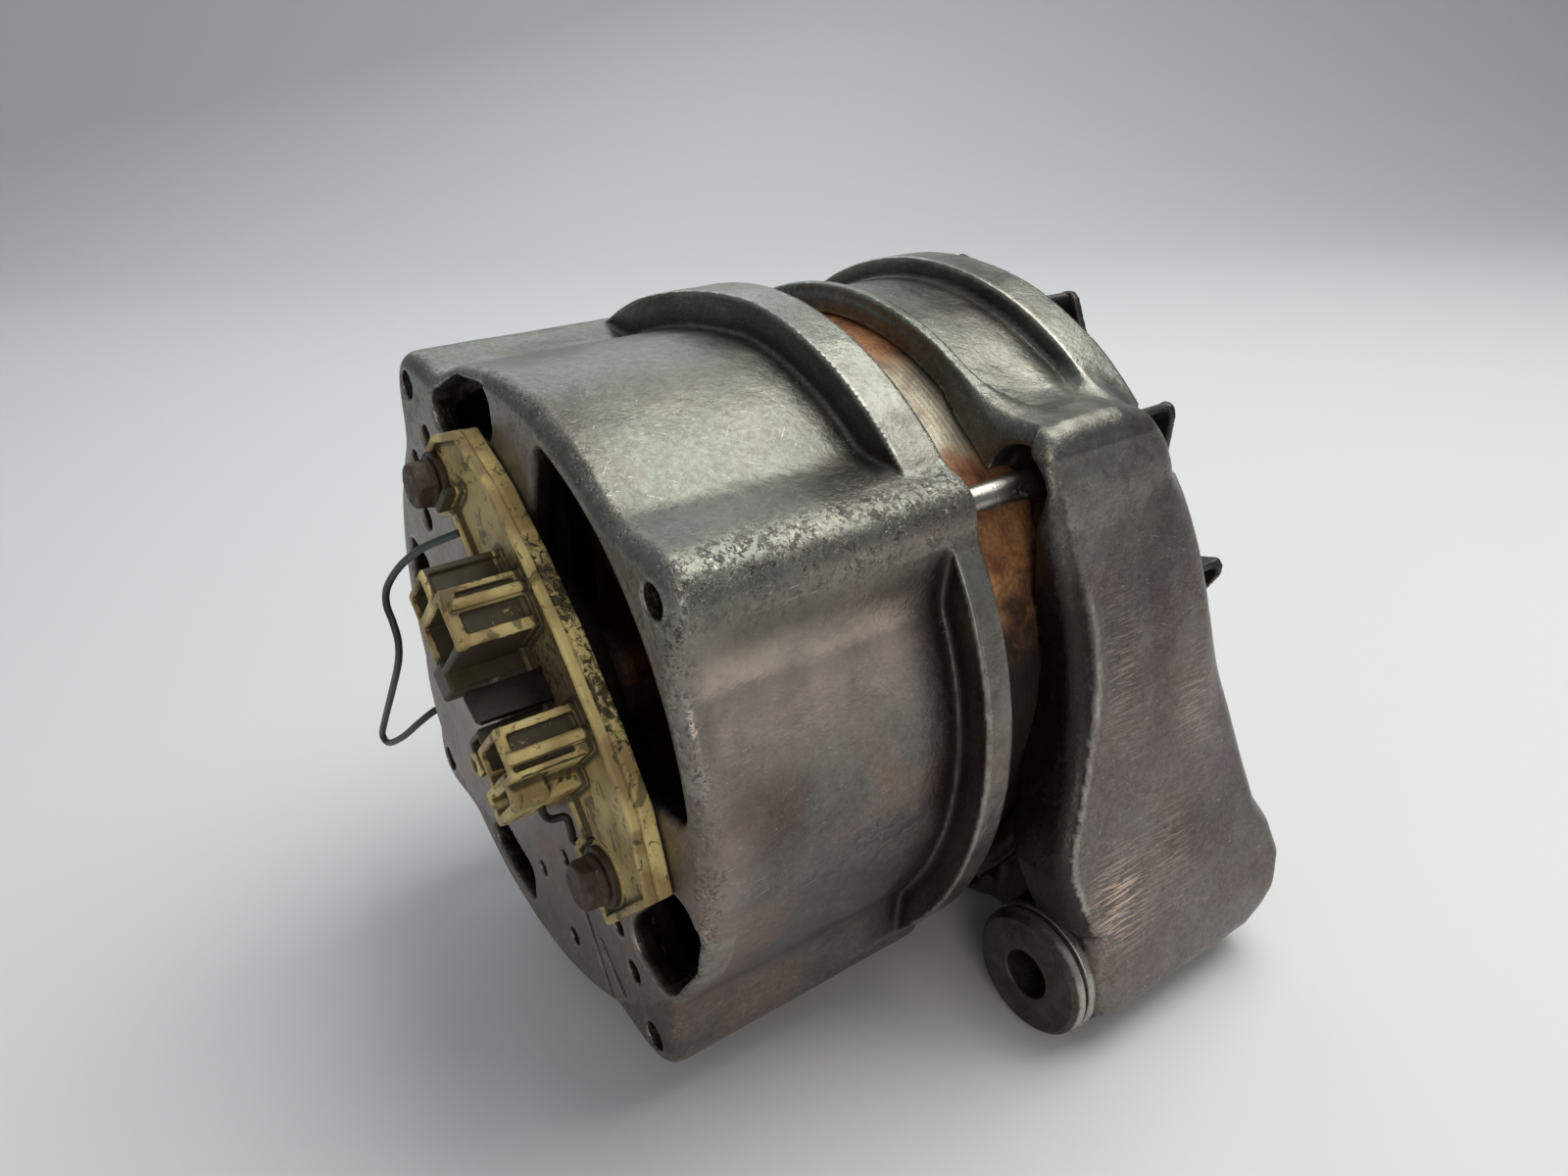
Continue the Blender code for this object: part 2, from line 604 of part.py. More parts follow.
# ---------------------------------------------------------------- terminal block
plate_uv = [(-47.0, 9.5), (-47.0, 22.0), (-41.5, 33.0), (-28.0, 38.5), (0.0, 40.5), (31.0, 38.5), (44.5, 32.0), (44.5, 8.0), (28.0, 8.0),
            (28.0, 14.0), (22.0, 14.0), (22.0, 8.0), (19.0, 8.5), (16.5, 13.0), (13.0, 17.5), (6.0, 21.3), (-13.0, 21.3), (-17.0, 15.5), (-33.0, 15.5), (-35.0, 9.5)]
bm = bmesh.new()
add_prism(bm, uv_list(plate_uv), -0.3, BLOCK_TOP_X)
block = mesh_object("terminal_block", bm, "plastic_cream")


def shroud(name, outline, x1):
    bm = bmesh.new()
    add_prism(bm, uv_list(outline), BLOCK_TOP_X + 1.5, x1)
    part = mesh_object("cut_" + name, bm, "plastic_cream", helper=True)
    join(block, part)


# upper shroud: an outer shell open inwards, with a keyed inner wall
shroud("shroud_upper_outer", [(-25.0, 15.8), (-23.4, 15.8), (-23.4, 27.5), (-19.5, 27.5), (-19.5, 29.0), (-25.0, 29.0)], -15.0)
shroud("shroud_upper", [(-19.6, 21.6), (-18.0, 21.6), (-18.0, 31.4), (-6.6, 31.4), (-6.6, 21.6), (-5.0, 21.6), (-5.0, 33.0), (-10.6, 33.0),
                        (-10.6, 34.6), (-12.8, 34.6), (-12.8, 33.0), (-19.6, 33.0)], SHROUD_X)
shroud("shroud_lower", [(8.6, 21.6), (10.2, 21.6), (10.2, 31.4), (18.4, 31.4), (18.4, 21.6), (20.0, 21.6), (20.0, 33.0), (16.4, 33.0),
                        (16.4, 34.6), (14.2, 34.6), (14.2, 33.0), (8.6, 33.0)], SHROUD_X)
shroud("shroud_box", [(17.0, 13.4), (20.0, 9.0), (21.6, 9.0), (21.6, 21.0), (17.0, 21.0)], -13.5)
# the thin rib of the outer edge
shroud("edge_rib", [(-41.0, 31.6), (-28.0, 36.9), (0.0, 38.9), (31.0, 36.9), (42.6, 31.0), (44.3, 32.0), (31.0, 38.3), (0.0, 40.3), (-28.0, 38.3), (-41.4, 32.9)], -5.2)
bm = bmesh.new()
for u, v in SCREW_UV:
    y, z = uv(u, v)
    add_prism(bm, circle(y, z, 2.4, 14), -8.0, 2.0)
# slots that hold the flat terminals
for u, v, w in ((-0.3, 23.0, 6.6), (-12.3, 26.5, 6.6), (14.3, 26.5, 6.6)):
    add_prism(bm, uv_list([(u - w / 2, v - 0.7), (u + w / 2, v - 0.7), (u + w / 2, v + 0.7), (u - w / 2, v + 0.7)]), -8.0, -1.3)
block_holes = mesh_object("cut_block_holes", bm, "steel", helper=True)
cut(block, block_holes)

for i, (u, v) in enumerate(SCREW_UV):
    y, z = uv(u, v)
    bolt = turned(
        f"terminal_screw_{i + 1}", [(-6.0, 0.0), (-6.0, 2.0), (11.0, 2.0), (11.6, 1.5), (11.6, 0.0)], 14, "rusty", at=(0, y, z)
    )
    bm = bmesh.new()
    add_prism(bm, circle(0, 0, 4.3, 6, start=20.0), -9.3, -5.6)
    head = mesh_object(f"cut_terminal_head_{i + 1}", bm, "steel", at=(0, y, z), helper=True)
    join(bolt, head)
    turned(f"terminal_washer_{i + 1}", [(-5.3, 2.3), (-5.3, 5.6), (-4.2, 5.6), (-4.2, 2.3)], 24, "rusty", at=(0, y, z))

for i, (u, v) in enumerate(((-0.3, 23.0), (-12.3, 26.5), (14.3, 26.5))):
    bm = bmesh.new()
    w, t = 6.0, 0.4
    near = uv_list([(u - w / 2, v - t), (u + w / 2, v - t), (u + w / 2, v + t), (u - w / 2, v + t)])
    tip = uv_list([(u - w / 2 + 1.2, v - t), (u + w / 2 - 1.2, v - t), (u + w / 2 - 1.2, v + t), (u - w / 2 + 1.2, v + t)])
    a = [bm.verts.new(local(-1.6, y, z)) for y, z in near]
    b = [bm.verts.new(local(-14.4, y, z)) for y, z in near]
    c = [bm.verts.new(local(-16.0, y, z)) for y, z in tip]
    bm.faces.new(a)
    bm.faces.new(list(reversed(c)))
    for lo, hi in ((a, b), (b, c)):
        for k in range(4):
            bm.faces.new((lo[k], hi[k], hi[(k + 1) % 4], lo[(k + 1) % 4]))
    mesh_object(f"blade_terminal_{i + 1}", bm, "steel_dark")

# ---------------------------------------------------------------- brushes, on the far lower side
BRUSH_DEG = 300.0
bc, bs = math.cos(math.radians(BRUSH_DEG)), math.sin(math.radians(BRUSH_DEG))


def radial_box(bm, x0, x1, t0, t1, r0, r1):
    """A box whose height runs outwards from the shaft in the brush direction."""
    add_prism(bm, [(r * bc - t * bs, r * bs + t * bc) for r, t in ((r0, t0), (r1, t0), (r1, t1), (r0, t1))], x0, x1)


bm = bmesh.new()
radial_box(bm, 6.9, 27.0, -6.5, 6.5, 16.8, 40.0)
holder = mesh_object("brush_holder", bm, "plastic_dark")
bm = bmesh.new()
radial_box(bm, 8.1, 13.5, -3.6, 3.6, 10.0, 37.5)
radial_box(bm, 17.1, 22.5, -3.6, 3.6, 10.0, 37.5)
holder_cut = mesh_object("cut_brush_channels", bm, "steel", helper=True)
cut(holder, holder_cut)
for i, x0 in enumerate((8.4, 17.4)):
    bm = bmesh.new()
    radial_box(bm, x0, x0 + 4.8, -3.3, 3.3, 14.6, 28.0)
    mesh_object(f"brush_{i + 1}", bm, "carbon")

# ---------------------------------------------------------------- rectifier
bm = bmesh.new()
add_prism(bm, sector(26.0, 55.5, 98.0, 190.0, 12, 2.0), 16.0, 18.5)
rect = mesh_object("rectifier_plate", bm, "alu")
bm = bmesh.new()
for a in (116.0, 144.0, 172.0):
    y, z = polar(42.0, a)
    add_prism(bm, circle(y, z, 6.6, 20), 12.0, 22.0)
rect_cut = mesh_object("cut_rectifier", bm, "alu", helper=True)
cut(rect, rect_cut)
for i, a in enumerate((116.0, 144.0, 172.0)):
    y, z = polar(42.0, a)
    turned(
        f"diode_{i + 1}", [(9.0, 0.0), (9.0, 0.8), (13.4, 0.8), (13.8, 3.6), (14.6, 6.3), (20.6, 6.3), (21.2, 5.7), (21.2, 0.0)], 20, "steel_dark",
        at=(0, y, z),
    )

# ---------------------------------------------------------------- pivot bush
turned(
    "pivot_bush",
    [(67.0, 5.0), (67.0, 11.9), (67.8, 12.8), (69.6, 13.2), (69.8, 12.5), (70.4, 12.5), (70.6, 13.2), (72.6, 13.2), (72.6, 10.0), (92.0, 10.0), (92.0, 5.0)],
    30, "steel", at=(0, PIVOT_Y, PIVOT_Z),
)

# ---------------------------------------------------------------- thin lead and spring clip
LEAD_R = 0.75
LEAD_ROUTE = [
    (-4.9, 7.6, 32.9), (-5.6, 9.4, 32.0), (-7.0, 13.2, 30.2), (-9.0, 19.6, 26.8), (-11.0, 26.8, 21.7), (-12.5, 32.4, 16.0),
    (-13.0, 33.8, 11.8), (-13.0, 31.6, 8.6), (-13.0, 30.4, 4.6), (-13.0, 33.6, -1.6), (-13.0, 43.0, -12.6), (-13.0, 52.6, -23.4),
    (-13.0, 57.6, -29.8), (-12.4, 55.6, -31.2), (-11.0, 48.2, -26.6), (-9.0, 41.4, -20.8), (-6.5, 37.8, -17.2), (-3.4, 36.2, -15.6), (-0.5, 36.0, -15.4),
]


def catmull(points, step_mm):
    """Points along a smooth curve through the route, about step_mm apart."""
    dense = []
    pts = [points[0]] + list(points) + [points[-1]]
    for i in range(1, len(pts) - 2):
        p0, p1, p2, p3 = (Vector(p) for p in pts[i - 1:i + 3])
        for k in range(16):
            t = k / 16
            dense.append(0.5 * ((2 * p1) + (p2 - p0) * t + (2 * p0 - 5 * p1 + 4 * p2 - p3) * t * t + (3 * p1 - p0 - 3 * p2 + p3) * t ** 3))
    dense.append(Vector(points[-1]))
    lengths = [0.0]
    for a, b in zip(dense, dense[1:]):
        lengths.append(lengths[-1] + (b - a).length)
    count = max(2, int(round(lengths[-1] / step_mm)))
    out = []
    j = 0
    for k in range(count + 1):
        want = lengths[-1] * k / count
        while j < len(lengths) - 2 and lengths[j + 1] < want:
            j += 1
        span = lengths[j + 1] - lengths[j]
        out.append(dense[j].lerp(dense[j + 1], (want - lengths[j]) / span if span else 0.0))
    return out


def wire(name, route, radius, key, step):
    curve = bpy.data.curves.new(name, "CURVE")
    curve.dimensions = "3D"
    curve.bevel_depth = radius * MM
    curve.bevel_resolution = 2
    curve.use_fill_caps = True
    spline = curve.splines.new("POLY")
    points = catmull(route, step)
    spline.points.add(len(points) - 1)
    for target, p in zip(spline.points, points):
        target.co = (p.x * MM, p.y * MM, p.z * MM, 1.0)
    obj = bpy.data.objects.new(name, curve)
    finish(obj, name, key)
    place(obj)
    return obj


wire("suppression_lead", LEAD_ROUTE, LEAD_R, "lead", 3.0)
clip_uv = [(24.6, 11.0), (24.2, 6.8), (24.6, 2.8), (27.6, 3.0), (29.4, 5.6), (32.0, 5.8)]
wire("spring_clip", [(-1.0,) + uv(u, v) for u, v in clip_uv], 0.6, "steel_dark", 1.6)
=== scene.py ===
"""Looks of the car alternator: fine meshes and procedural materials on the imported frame."""

import json
import math

import bpy
import numpy as np
from mathutils import Matrix, Vector

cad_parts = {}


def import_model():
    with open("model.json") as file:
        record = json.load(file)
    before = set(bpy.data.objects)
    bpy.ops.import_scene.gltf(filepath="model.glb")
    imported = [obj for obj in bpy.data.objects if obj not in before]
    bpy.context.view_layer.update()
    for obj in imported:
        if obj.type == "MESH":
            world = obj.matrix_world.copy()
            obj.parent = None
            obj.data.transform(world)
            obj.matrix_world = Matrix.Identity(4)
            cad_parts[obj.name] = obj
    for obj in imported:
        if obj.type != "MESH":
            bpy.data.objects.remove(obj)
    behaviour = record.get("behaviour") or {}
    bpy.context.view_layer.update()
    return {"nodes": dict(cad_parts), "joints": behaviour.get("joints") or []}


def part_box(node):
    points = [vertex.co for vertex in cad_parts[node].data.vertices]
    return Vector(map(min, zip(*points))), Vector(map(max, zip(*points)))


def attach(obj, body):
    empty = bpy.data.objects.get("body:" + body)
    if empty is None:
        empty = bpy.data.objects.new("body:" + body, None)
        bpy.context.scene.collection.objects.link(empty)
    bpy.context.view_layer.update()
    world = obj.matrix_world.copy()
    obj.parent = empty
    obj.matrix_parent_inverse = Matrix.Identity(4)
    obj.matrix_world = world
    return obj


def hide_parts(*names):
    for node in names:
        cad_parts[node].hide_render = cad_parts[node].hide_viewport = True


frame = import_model()

# ---------------------------------------------------------------- the frame, in millimetres
SPIN = next(j for j in frame["joints"] if j["name"] == "rotor_spin")
BOSS_DEPTH = 11.8
ORIGIN = np.array([
    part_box("rear_housing")[0].x * 1000 + BOSS_DEPTH, SPIN["pos_m"][1] * 1000, SPIN["pos_m"][2] * 1000
])
LOBES = (53.5, 143.5, 233.5, 323.5)
BARREL_R, LOBE_R, RIB_R, BOLT_CIRCLE = 62.5, 72.0, 69.4, 65.9
EU, EV = (-0.668, -0.744), (-0.744, 0.668)
BUSH_LO, BUSH_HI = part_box("pivot_bush")
PIVOT_Y = (BUSH_LO.y + BUSH_HI.y) * 500 - ORIGIN[1]
PIVOT_Z = (BUSH_LO.z + BUSH_HI.z) * 500 - ORIGIN[2]
SCREW_UV = ((-41.0, 14.5), (36.4, 15.0))
F = np.float32


def world(p):
    return Vector(((ORIGIN[0] + p[0]) / 1000, (ORIGIN[1] + p[1]) / 1000, (ORIGIN[2] + p[2]) / 1000))


def polar(r, deg):
    return (r * math.cos(math.radians(deg)), r * math.sin(math.radians(deg)))


# ---------------------------------------------------------------- distance functions
def rmax(a, b, r):
    """The larger of two distances, with a round edge of radius r where they meet."""
    if r <= 0:
        return np.maximum(a, b)
    u, v = a + r, b + r
    return np.minimum(np.maximum(u, v), 0) + np.hypot(np.maximum(u, 0), np.maximum(v, 0)) - r


def rmin(a, b, r):
    """The smaller of two distances, with a fillet of radius r."""
    return -rmax(-a, -b, r)


def cut(a, b, r=0.4):
    return rmax(a, -b, r)


def slab(x, lo, hi):
    return np.abs(x - (lo + hi) / 2) - (hi - lo) / 2


def cyl(y, z, cy, cz, r):
    return np.hypot(y - cy, z - cz) - r


def box(x, y, z, x0, x1, y0, y1, z0, z1, r=0.3):
    qx, qy, qz = slab(x, x0, x1) + r, slab(y, y0, y1) + r, slab(z, z0, z1) + r
    out = np.sqrt(np.maximum(qx, 0) ** 2 + np.maximum(qy, 0) ** 2 + np.maximum(qz, 0) ** 2)
    return out + np.minimum(np.maximum(qx, np.maximum(qy, qz)), 0) - r


def inset(points, r):
    n = len(points)
    area = sum(points[i][0] * points[(i + 1) % n][1] - points[(i + 1) % n][0] * points[i][1] for i in range(n))
    turn = 1.0 if area > 0 else -1.0
    out = []
    for i in range(n):
        p0, p, p1 = (Vector(points[i - 1]), Vector(points[i]), Vector(points[(i + 1) % n]))
        a, b = (p - p0).normalized(), (p1 - p).normalized()
        na, nb = Vector((-a.y, a.x)) * turn, Vector((-b.y, b.x)) * turn
        m = na + nb
        m = m / max(1e-6, m.dot(m)) * 2
        q = p + m * r
        out.append((q.x, q.y))
    return out


def poly(x, y, points, r=0.0):
    """Signed distance to a polygon with its outer corners rounded."""
    pts = inset(points, r) if r else points
    best, sign = np.full(x.shape, 1e9, F), np.ones(x.shape, F)
    n = len(pts)
    for i in range(n):
        ax, ay = pts[i]
        bx, by = pts[i - 1]
        ex, ey = bx - ax, by - ay
        wx, wy = x - ax, y - ay
        t = np.clip((wx * ex + wy * ey) / max(1e-12, ex * ex + ey * ey), 0, 1)
        dx, dy = wx - ex * t, wy - ey * t
        best = np.minimum(best, dx * dx + dy * dy)
        c1, c2, c3 = y >= ay, y < by, ex * wy > ey * wx
        flip = (c1 & c2 & c3) | (~c1 & ~c2 & ~c3)
        sign = np.where(flip, -sign, sign)
    return sign * np.sqrt(best) - r


def sector(y, z, r0, r1, a0, a1, rc):
    rr = np.hypot(y, z)
    am, ha = math.radians((a0 + a1) / 2), math.radians((a1 - a0) / 2)
    along = y * math.cos(am) + z * math.sin(am)
    across = np.abs(-y * math.sin(am) + z * math.cos(am))
    side = across * math.cos(ha) - along * math.sin(ha)
    return rmax(rmax(rr - r1, r0 - rr, rc), side, rc)


def outline(y, z, base, tip=LOBE_R, half=15.0):
    """The cast body's cross-section: a circle that swells into a lobe at each through bolt."""
    rr = np.hypot(y, z)
    deg = np.degrees(np.arctan2(z, y))
    want = np.full(rr.shape, base, F)
    lean = np.zeros(rr.shape, F)
    hw = math.radians(half)
    for lobe in LOBES:
        d = np.abs((deg - lobe + 180.0) % 360.0 - 180.0)
        near = d < half
        r = BARREL_R + (tip - BARREL_R) * np.where(near, np.cos(math.pi / 2 * d / half) ** 2, 0)
        s = (tip - BARREL_R) * math.pi / (2 * hw) * np.sin(math.pi * d / half) / 66.0
        lean = np.where(near & (r > want), s, lean)
        want = np.maximum(want, r)
    return (rr - want) / np.sqrt(1 + lean * lean)


# ---------------------------------------------------------------- from a distance function to a mesh
RNG = np.random.default_rng(7)
LATTICE = (RNG.random((48, 48, 48)) * 2 - 1).astype(F)


def lumps(p, size):
    """Smooth random relief, from -1 to 1, over features of that size in mm."""
    q = p / size + 71.3
    i = np.floor(q).astype(int)
    f = q - i
    f = f * f * (3 - 2 * f)
    total = 0
    for dx in (0, 1):
        for dy in (0, 1):
            for dz in (0, 1):
                w = (f[:, 0] if dx else 1 - f[:, 0]) * (f[:, 1] if dy else 1 - f[:, 1]) * (f[:, 2] if dz else 1 - f[:, 2])
                total = total + w * LATTICE[(i[:, 0] + dx) % 48, (i[:, 1] + dy) % 48, (i[:, 2] + dz) % 48]
    return total


def surface(f, lo, hi, h, relief=(), probe=(1.0,)):
    """A mesh of quads on f = 0 in the box lo..hi, at spacing h: a net over the grid cells that the surface crosses, each point then drawn onto it."""
    lo = np.array(lo, float) - 2.3 * h
    hi = np.array(hi, float) + 2.3 * h
    k = 4
    nc = np.ceil((hi - lo) / (h * k)).astype(int) + 1
    n = (nc - 1) * k + 1
    grid = np.meshgrid(*[(lo[i] + h * k * np.arange(nc[i])).astype(F) for i in range(3)], indexing="ij")
    coarse = f(*grid).astype(F)
    near = np.full(nc - 1, 1e9, F)
    for a in (0, 1):
        for b in (0, 1):
            for c in (0, 1):
                near = np.minimum(near, np.abs(coarse[a:nc[0] - 1 + a, b:nc[1] - 1 + b, c:nc[2] - 1 + c]))
    busy = near < k * h * 1.9
    fine = coarse[:-1, :-1, :-1].repeat(k, 0).repeat(k, 1).repeat(k, 2)
    val = np.empty(n, F)
    val[:-1, :-1, :-1] = fine
    val[-1], val[:, -1], val[:, :, -1] = 9.0, 9.0, 9.0
    cells = busy.repeat(k, 0).repeat(k, 1).repeat(k, 2)
    node = np.zeros(n, bool)
    for a in (0, 1):
        for b in (0, 1):
            for c in (0, 1):
                node[a:n[0] - 1 + a, b:n[1] - 1 + b, c:n[2] - 1 + c] |= cells
    at = np.flatnonzero(node)
    flat = val.reshape(-1)
    for s in range(0, len(at), 1500000):
        part = at[s:s + 1500000]
        i, j, m = np.unravel_index(part, n)
        flat[part] = f((lo[0] + h * i).astype(F), (lo[1] + h * j).astype(F), (lo[2] + h * m).astype(F))
    inside = val < 0
    count = np.zeros(n - 1, np.int8)
    for a in (0, 1):
        for b in (0, 1):
            for c in (0, 1):
                count += inside[a:n[0] - 1 + a, b:n[1] - 1 + b, c:n[2] - 1 + c]
    live = np.argwhere((count > 0) & (count < 8))
    ids = np.full(n - 1, -1, np.int32)
    ids[live[:, 0], live[:, 1], live[:, 2]] = np.arange(len(live))
    corners = np.array([[a, b, c] for a in (0, 1) for b in (0, 1) for c in (0, 1)])
    v = np.stack([val[live[:, 0] + a, live[:, 1] + b, live[:, 2] + c] for a, b, c in corners], 1)
    total, hits = np.zeros((len(live), 3)), np.zeros(len(live))
    for a in range(8):
        for b in range(a + 1, 8):
            if np.abs(corners[a] - corners[b]).sum() != 1:
                continue
            crossing = (v[:, a] < 0) != (v[:, b] < 0)
            t = np.where(crossing, v[:, a] / np.where(crossing, v[:, a] - v[:, b], 1), 0)
            total += crossing[:, None] * (corners[a] + t[:, None] * (corners[b] - corners[a]))
            hits += crossing
    p = lo + h * (live + total / hits[:, None])

    def value(q):
        return f(q[:, 0], q[:, 1], q[:, 2])

    def slope(q):
        e = 0.12 * h
        g = np.stack([value(q + np.eye(3)[i] * e) - value(q - np.eye(3)[i] * e) for i in range(3)], 1) / (2 * e)
        return g

    for _ in range(3):
        g = slope(p)
        step = -value(p)[:, None] * g / np.maximum((g * g).sum(1), 0.25)[:, None]
        size = np.linalg.norm(step, axis=1, keepdims=True)
        p = p + step * np.minimum(1, 0.5 * h / np.maximum(size, 1e-9))
    g = slope(p)
    normal = g / np.maximum(np.linalg.norm(g, axis=1, keepdims=True), 1e-6)
    wear = np.zeros(len(p))
    dirt = np.zeros(len(p))
    for d in probe:
        wear = np.maximum(wear, (value(p - normal * d) + d) / d)
    for d in (0.8, 2.0):
        dirt = np.maximum(dirt, (d - value(p + normal * d)) / d)
    # painted shade in hollows: how deeply each point sits in a recess about 6 mm across
    d = 6.0
    recess_shade = np.clip((d - value(p + normal * d)) / d, 0, 1)
    for size, height in relief:
        p = p + normal * (lumps(p, size) * height)[:, None]
    quads = []
    for axis in range(3):
        b, c = (axis + 1) % 3, (axis + 2) % 3
        first = np.moveaxis(inside, axis, 0)
        change = np.argwhere(first[:-1] != first[1:])
        order = [axis] + [x for x in range(3) if x != axis]
        cell = np.empty_like(change)
        for spot, real in enumerate(order):
            cell[:, real] = change[:, spot]
        ok = (cell[:, b] > 0) & (cell[:, c] > 0) & (cell[:, b] < n[b] - 1) & (cell[:, c] < n[c] - 1)
        cell = cell[ok]
        out = inside[cell[:, 0], cell[:, 1], cell[:, 2]]
        four = []
        for db, dc in ((-1, -1), (0, -1), (0, 0), (-1, 0)):
            q = cell.copy()
            q[:, b] += db
            q[:, c] += dc
            four.append(ids[q[:, 0], q[:, 1], q[:, 2]])
        four = np.stack(four, 1)
        quads.append(np.where(out[:, None], four, four[:, ::-1]))
    quads = np.concatenate(quads)
    return p, quads, normal, np.clip(wear, 0, 1), np.clip(dirt, 0, 1), recess_shade


def shape(name, f, lo, hi, h, body, nodes, material, relief=(), extra=None, probe=(1.0,)):
    """A named piece from a distance function in local millimetres, riding on a body in place of CAD nodes."""
    p, quads, normal, wear, dirt, recess_shade = surface(f, lo, hi, h, relief, probe)
    layers = {"wear": wear, "dirt": dirt, "recess_shade": recess_shade}
    layers.update(extra(p, normal) if extra else {})
    return build(name, p, quads, body, nodes, material, normal, layers)


def build(name, p, faces, body, nodes, material, normal=None, layers=None, smooth=True, angle=None):
    mesh = bpy.data.meshes.new(name)
    co = ((np.asarray(p, float) + ORIGIN) / 1000).astype(F)
    faces = np.asarray(faces, np.int32) if not isinstance(faces, list) else faces
    if isinstance(faces, list):
        mesh.from_pydata([tuple(c) for c in co], [], faces)
    else:
        mesh.vertices.add(len(co))
        mesh.vertices.foreach_set("co", co.ravel())
        mesh.loops.add(faces.size)
        mesh.loops.foreach_set("vertex_index", faces.ravel())
        mesh.polygons.add(len(faces))
        mesh.polygons.foreach_set("loop_start", np.arange(0, faces.size, faces.shape[1], dtype=np.int32))
        mesh.update(calc_edges=True)
    mesh.validate()
    mesh.shade_smooth()
    if angle is not None:
        mesh.set_sharp_from_angle(angle=math.radians(angle))
    for key, values in (layers or {}).items():
        layer = mesh.attributes.new(key, "FLOAT", "POINT")
        layer.data.foreach_set("value", values.astype(F))
    if normal is not None and len(mesh.vertices) == len(normal):
        mesh.normals_split_custom_set_from_vertices([tuple(v) for v in normal.astype(float)])
    obj = bpy.data.objects.new(name, mesh)
    bpy.context.scene.collection.objects.link(obj)
    mesh.materials.append(material)
    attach(obj, body)
    if nodes:
        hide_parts(*nodes)
    return obj


def soften(profile, r, n=4):
    """A closed profile of (x, radius) with its corners rounded. A corner given as a third number keeps that radius."""
    out = []
    m = len(profile)
    for i in range(m):
        p0, p, p1 = (Vector(profile[i - 1][:2]), Vector(profile[i][:2]), Vector(profile[(i + 1) % m][:2]))
        rad = profile[i][2] if len(profile[i]) > 2 else r
        if p.y < 1e-6 or rad <= 0:
            out.append((p.x, p.y))
            continue
        a, b = (p0 - p).normalized(), (p1 - p).normalized()
        half = math.acos(max(-1.0, min(1.0, a.dot(b)))) / 2
        d = min(rad / max(1e-3, math.tan(half)), (p0 - p).length * 0.45, (p1 - p).length * 0.45)
        q0, q1 = p + a * d, p + b * d
        for k in range(n + 1):
            t = k / n
            q = q0 * (1 - t) ** 2 + p * 2 * t * (1 - t) + q1 * t * t
            out.append((q.x, q.y))
    return out


def lathe(name, profile, body, nodes, material, at=(0.0, 0.0), steps=96, r=0.3, wobble=None, angle=35):
    """A turned piece about X from a closed profile of (x, radius)."""
    pts = soften(profile, r)
    area = sum(pts[i][0] * pts[(i + 1) % len(pts)][1] - pts[(i + 1) % len(pts)][0] * pts[i][1] for i in range(len(pts)))
    if area > 0:
        pts = pts[::-1]
    verts, rings = [], []
    for x, rad in pts:
        if rad < 1e-6:
            rings.append([len(verts)])
            verts.append((x, at[0], at[1]))
            continue
        ring = []
        for s in range(steps):
            a = 2 * math.pi * s / steps
            rr = rad + (wobble(x, rad, a) if wobble else 0.0)
            ring.append(len(verts))
            verts.append((x, at[0] + rr * math.cos(a), at[1] + rr * math.sin(a)))
        rings.append(ring)
    faces = []
    m = len(rings)
    for i in range(m):
        p, q = rings[i], rings[(i + 1) % m]
        if len(p) == 1 and len(q) == 1:
            continue
        for s in range(steps):
            t = (s + 1) % steps
            if len(p) == 1:
                faces.append((p[0], q[t], q[s]))
            elif len(q) == 1:
                faces.append((p[s], p[t], q[0]))
            else:
                faces.append((p[s], p[t], q[t], q[s]))
    return build(name, verts, faces, body, nodes, material, angle=angle)


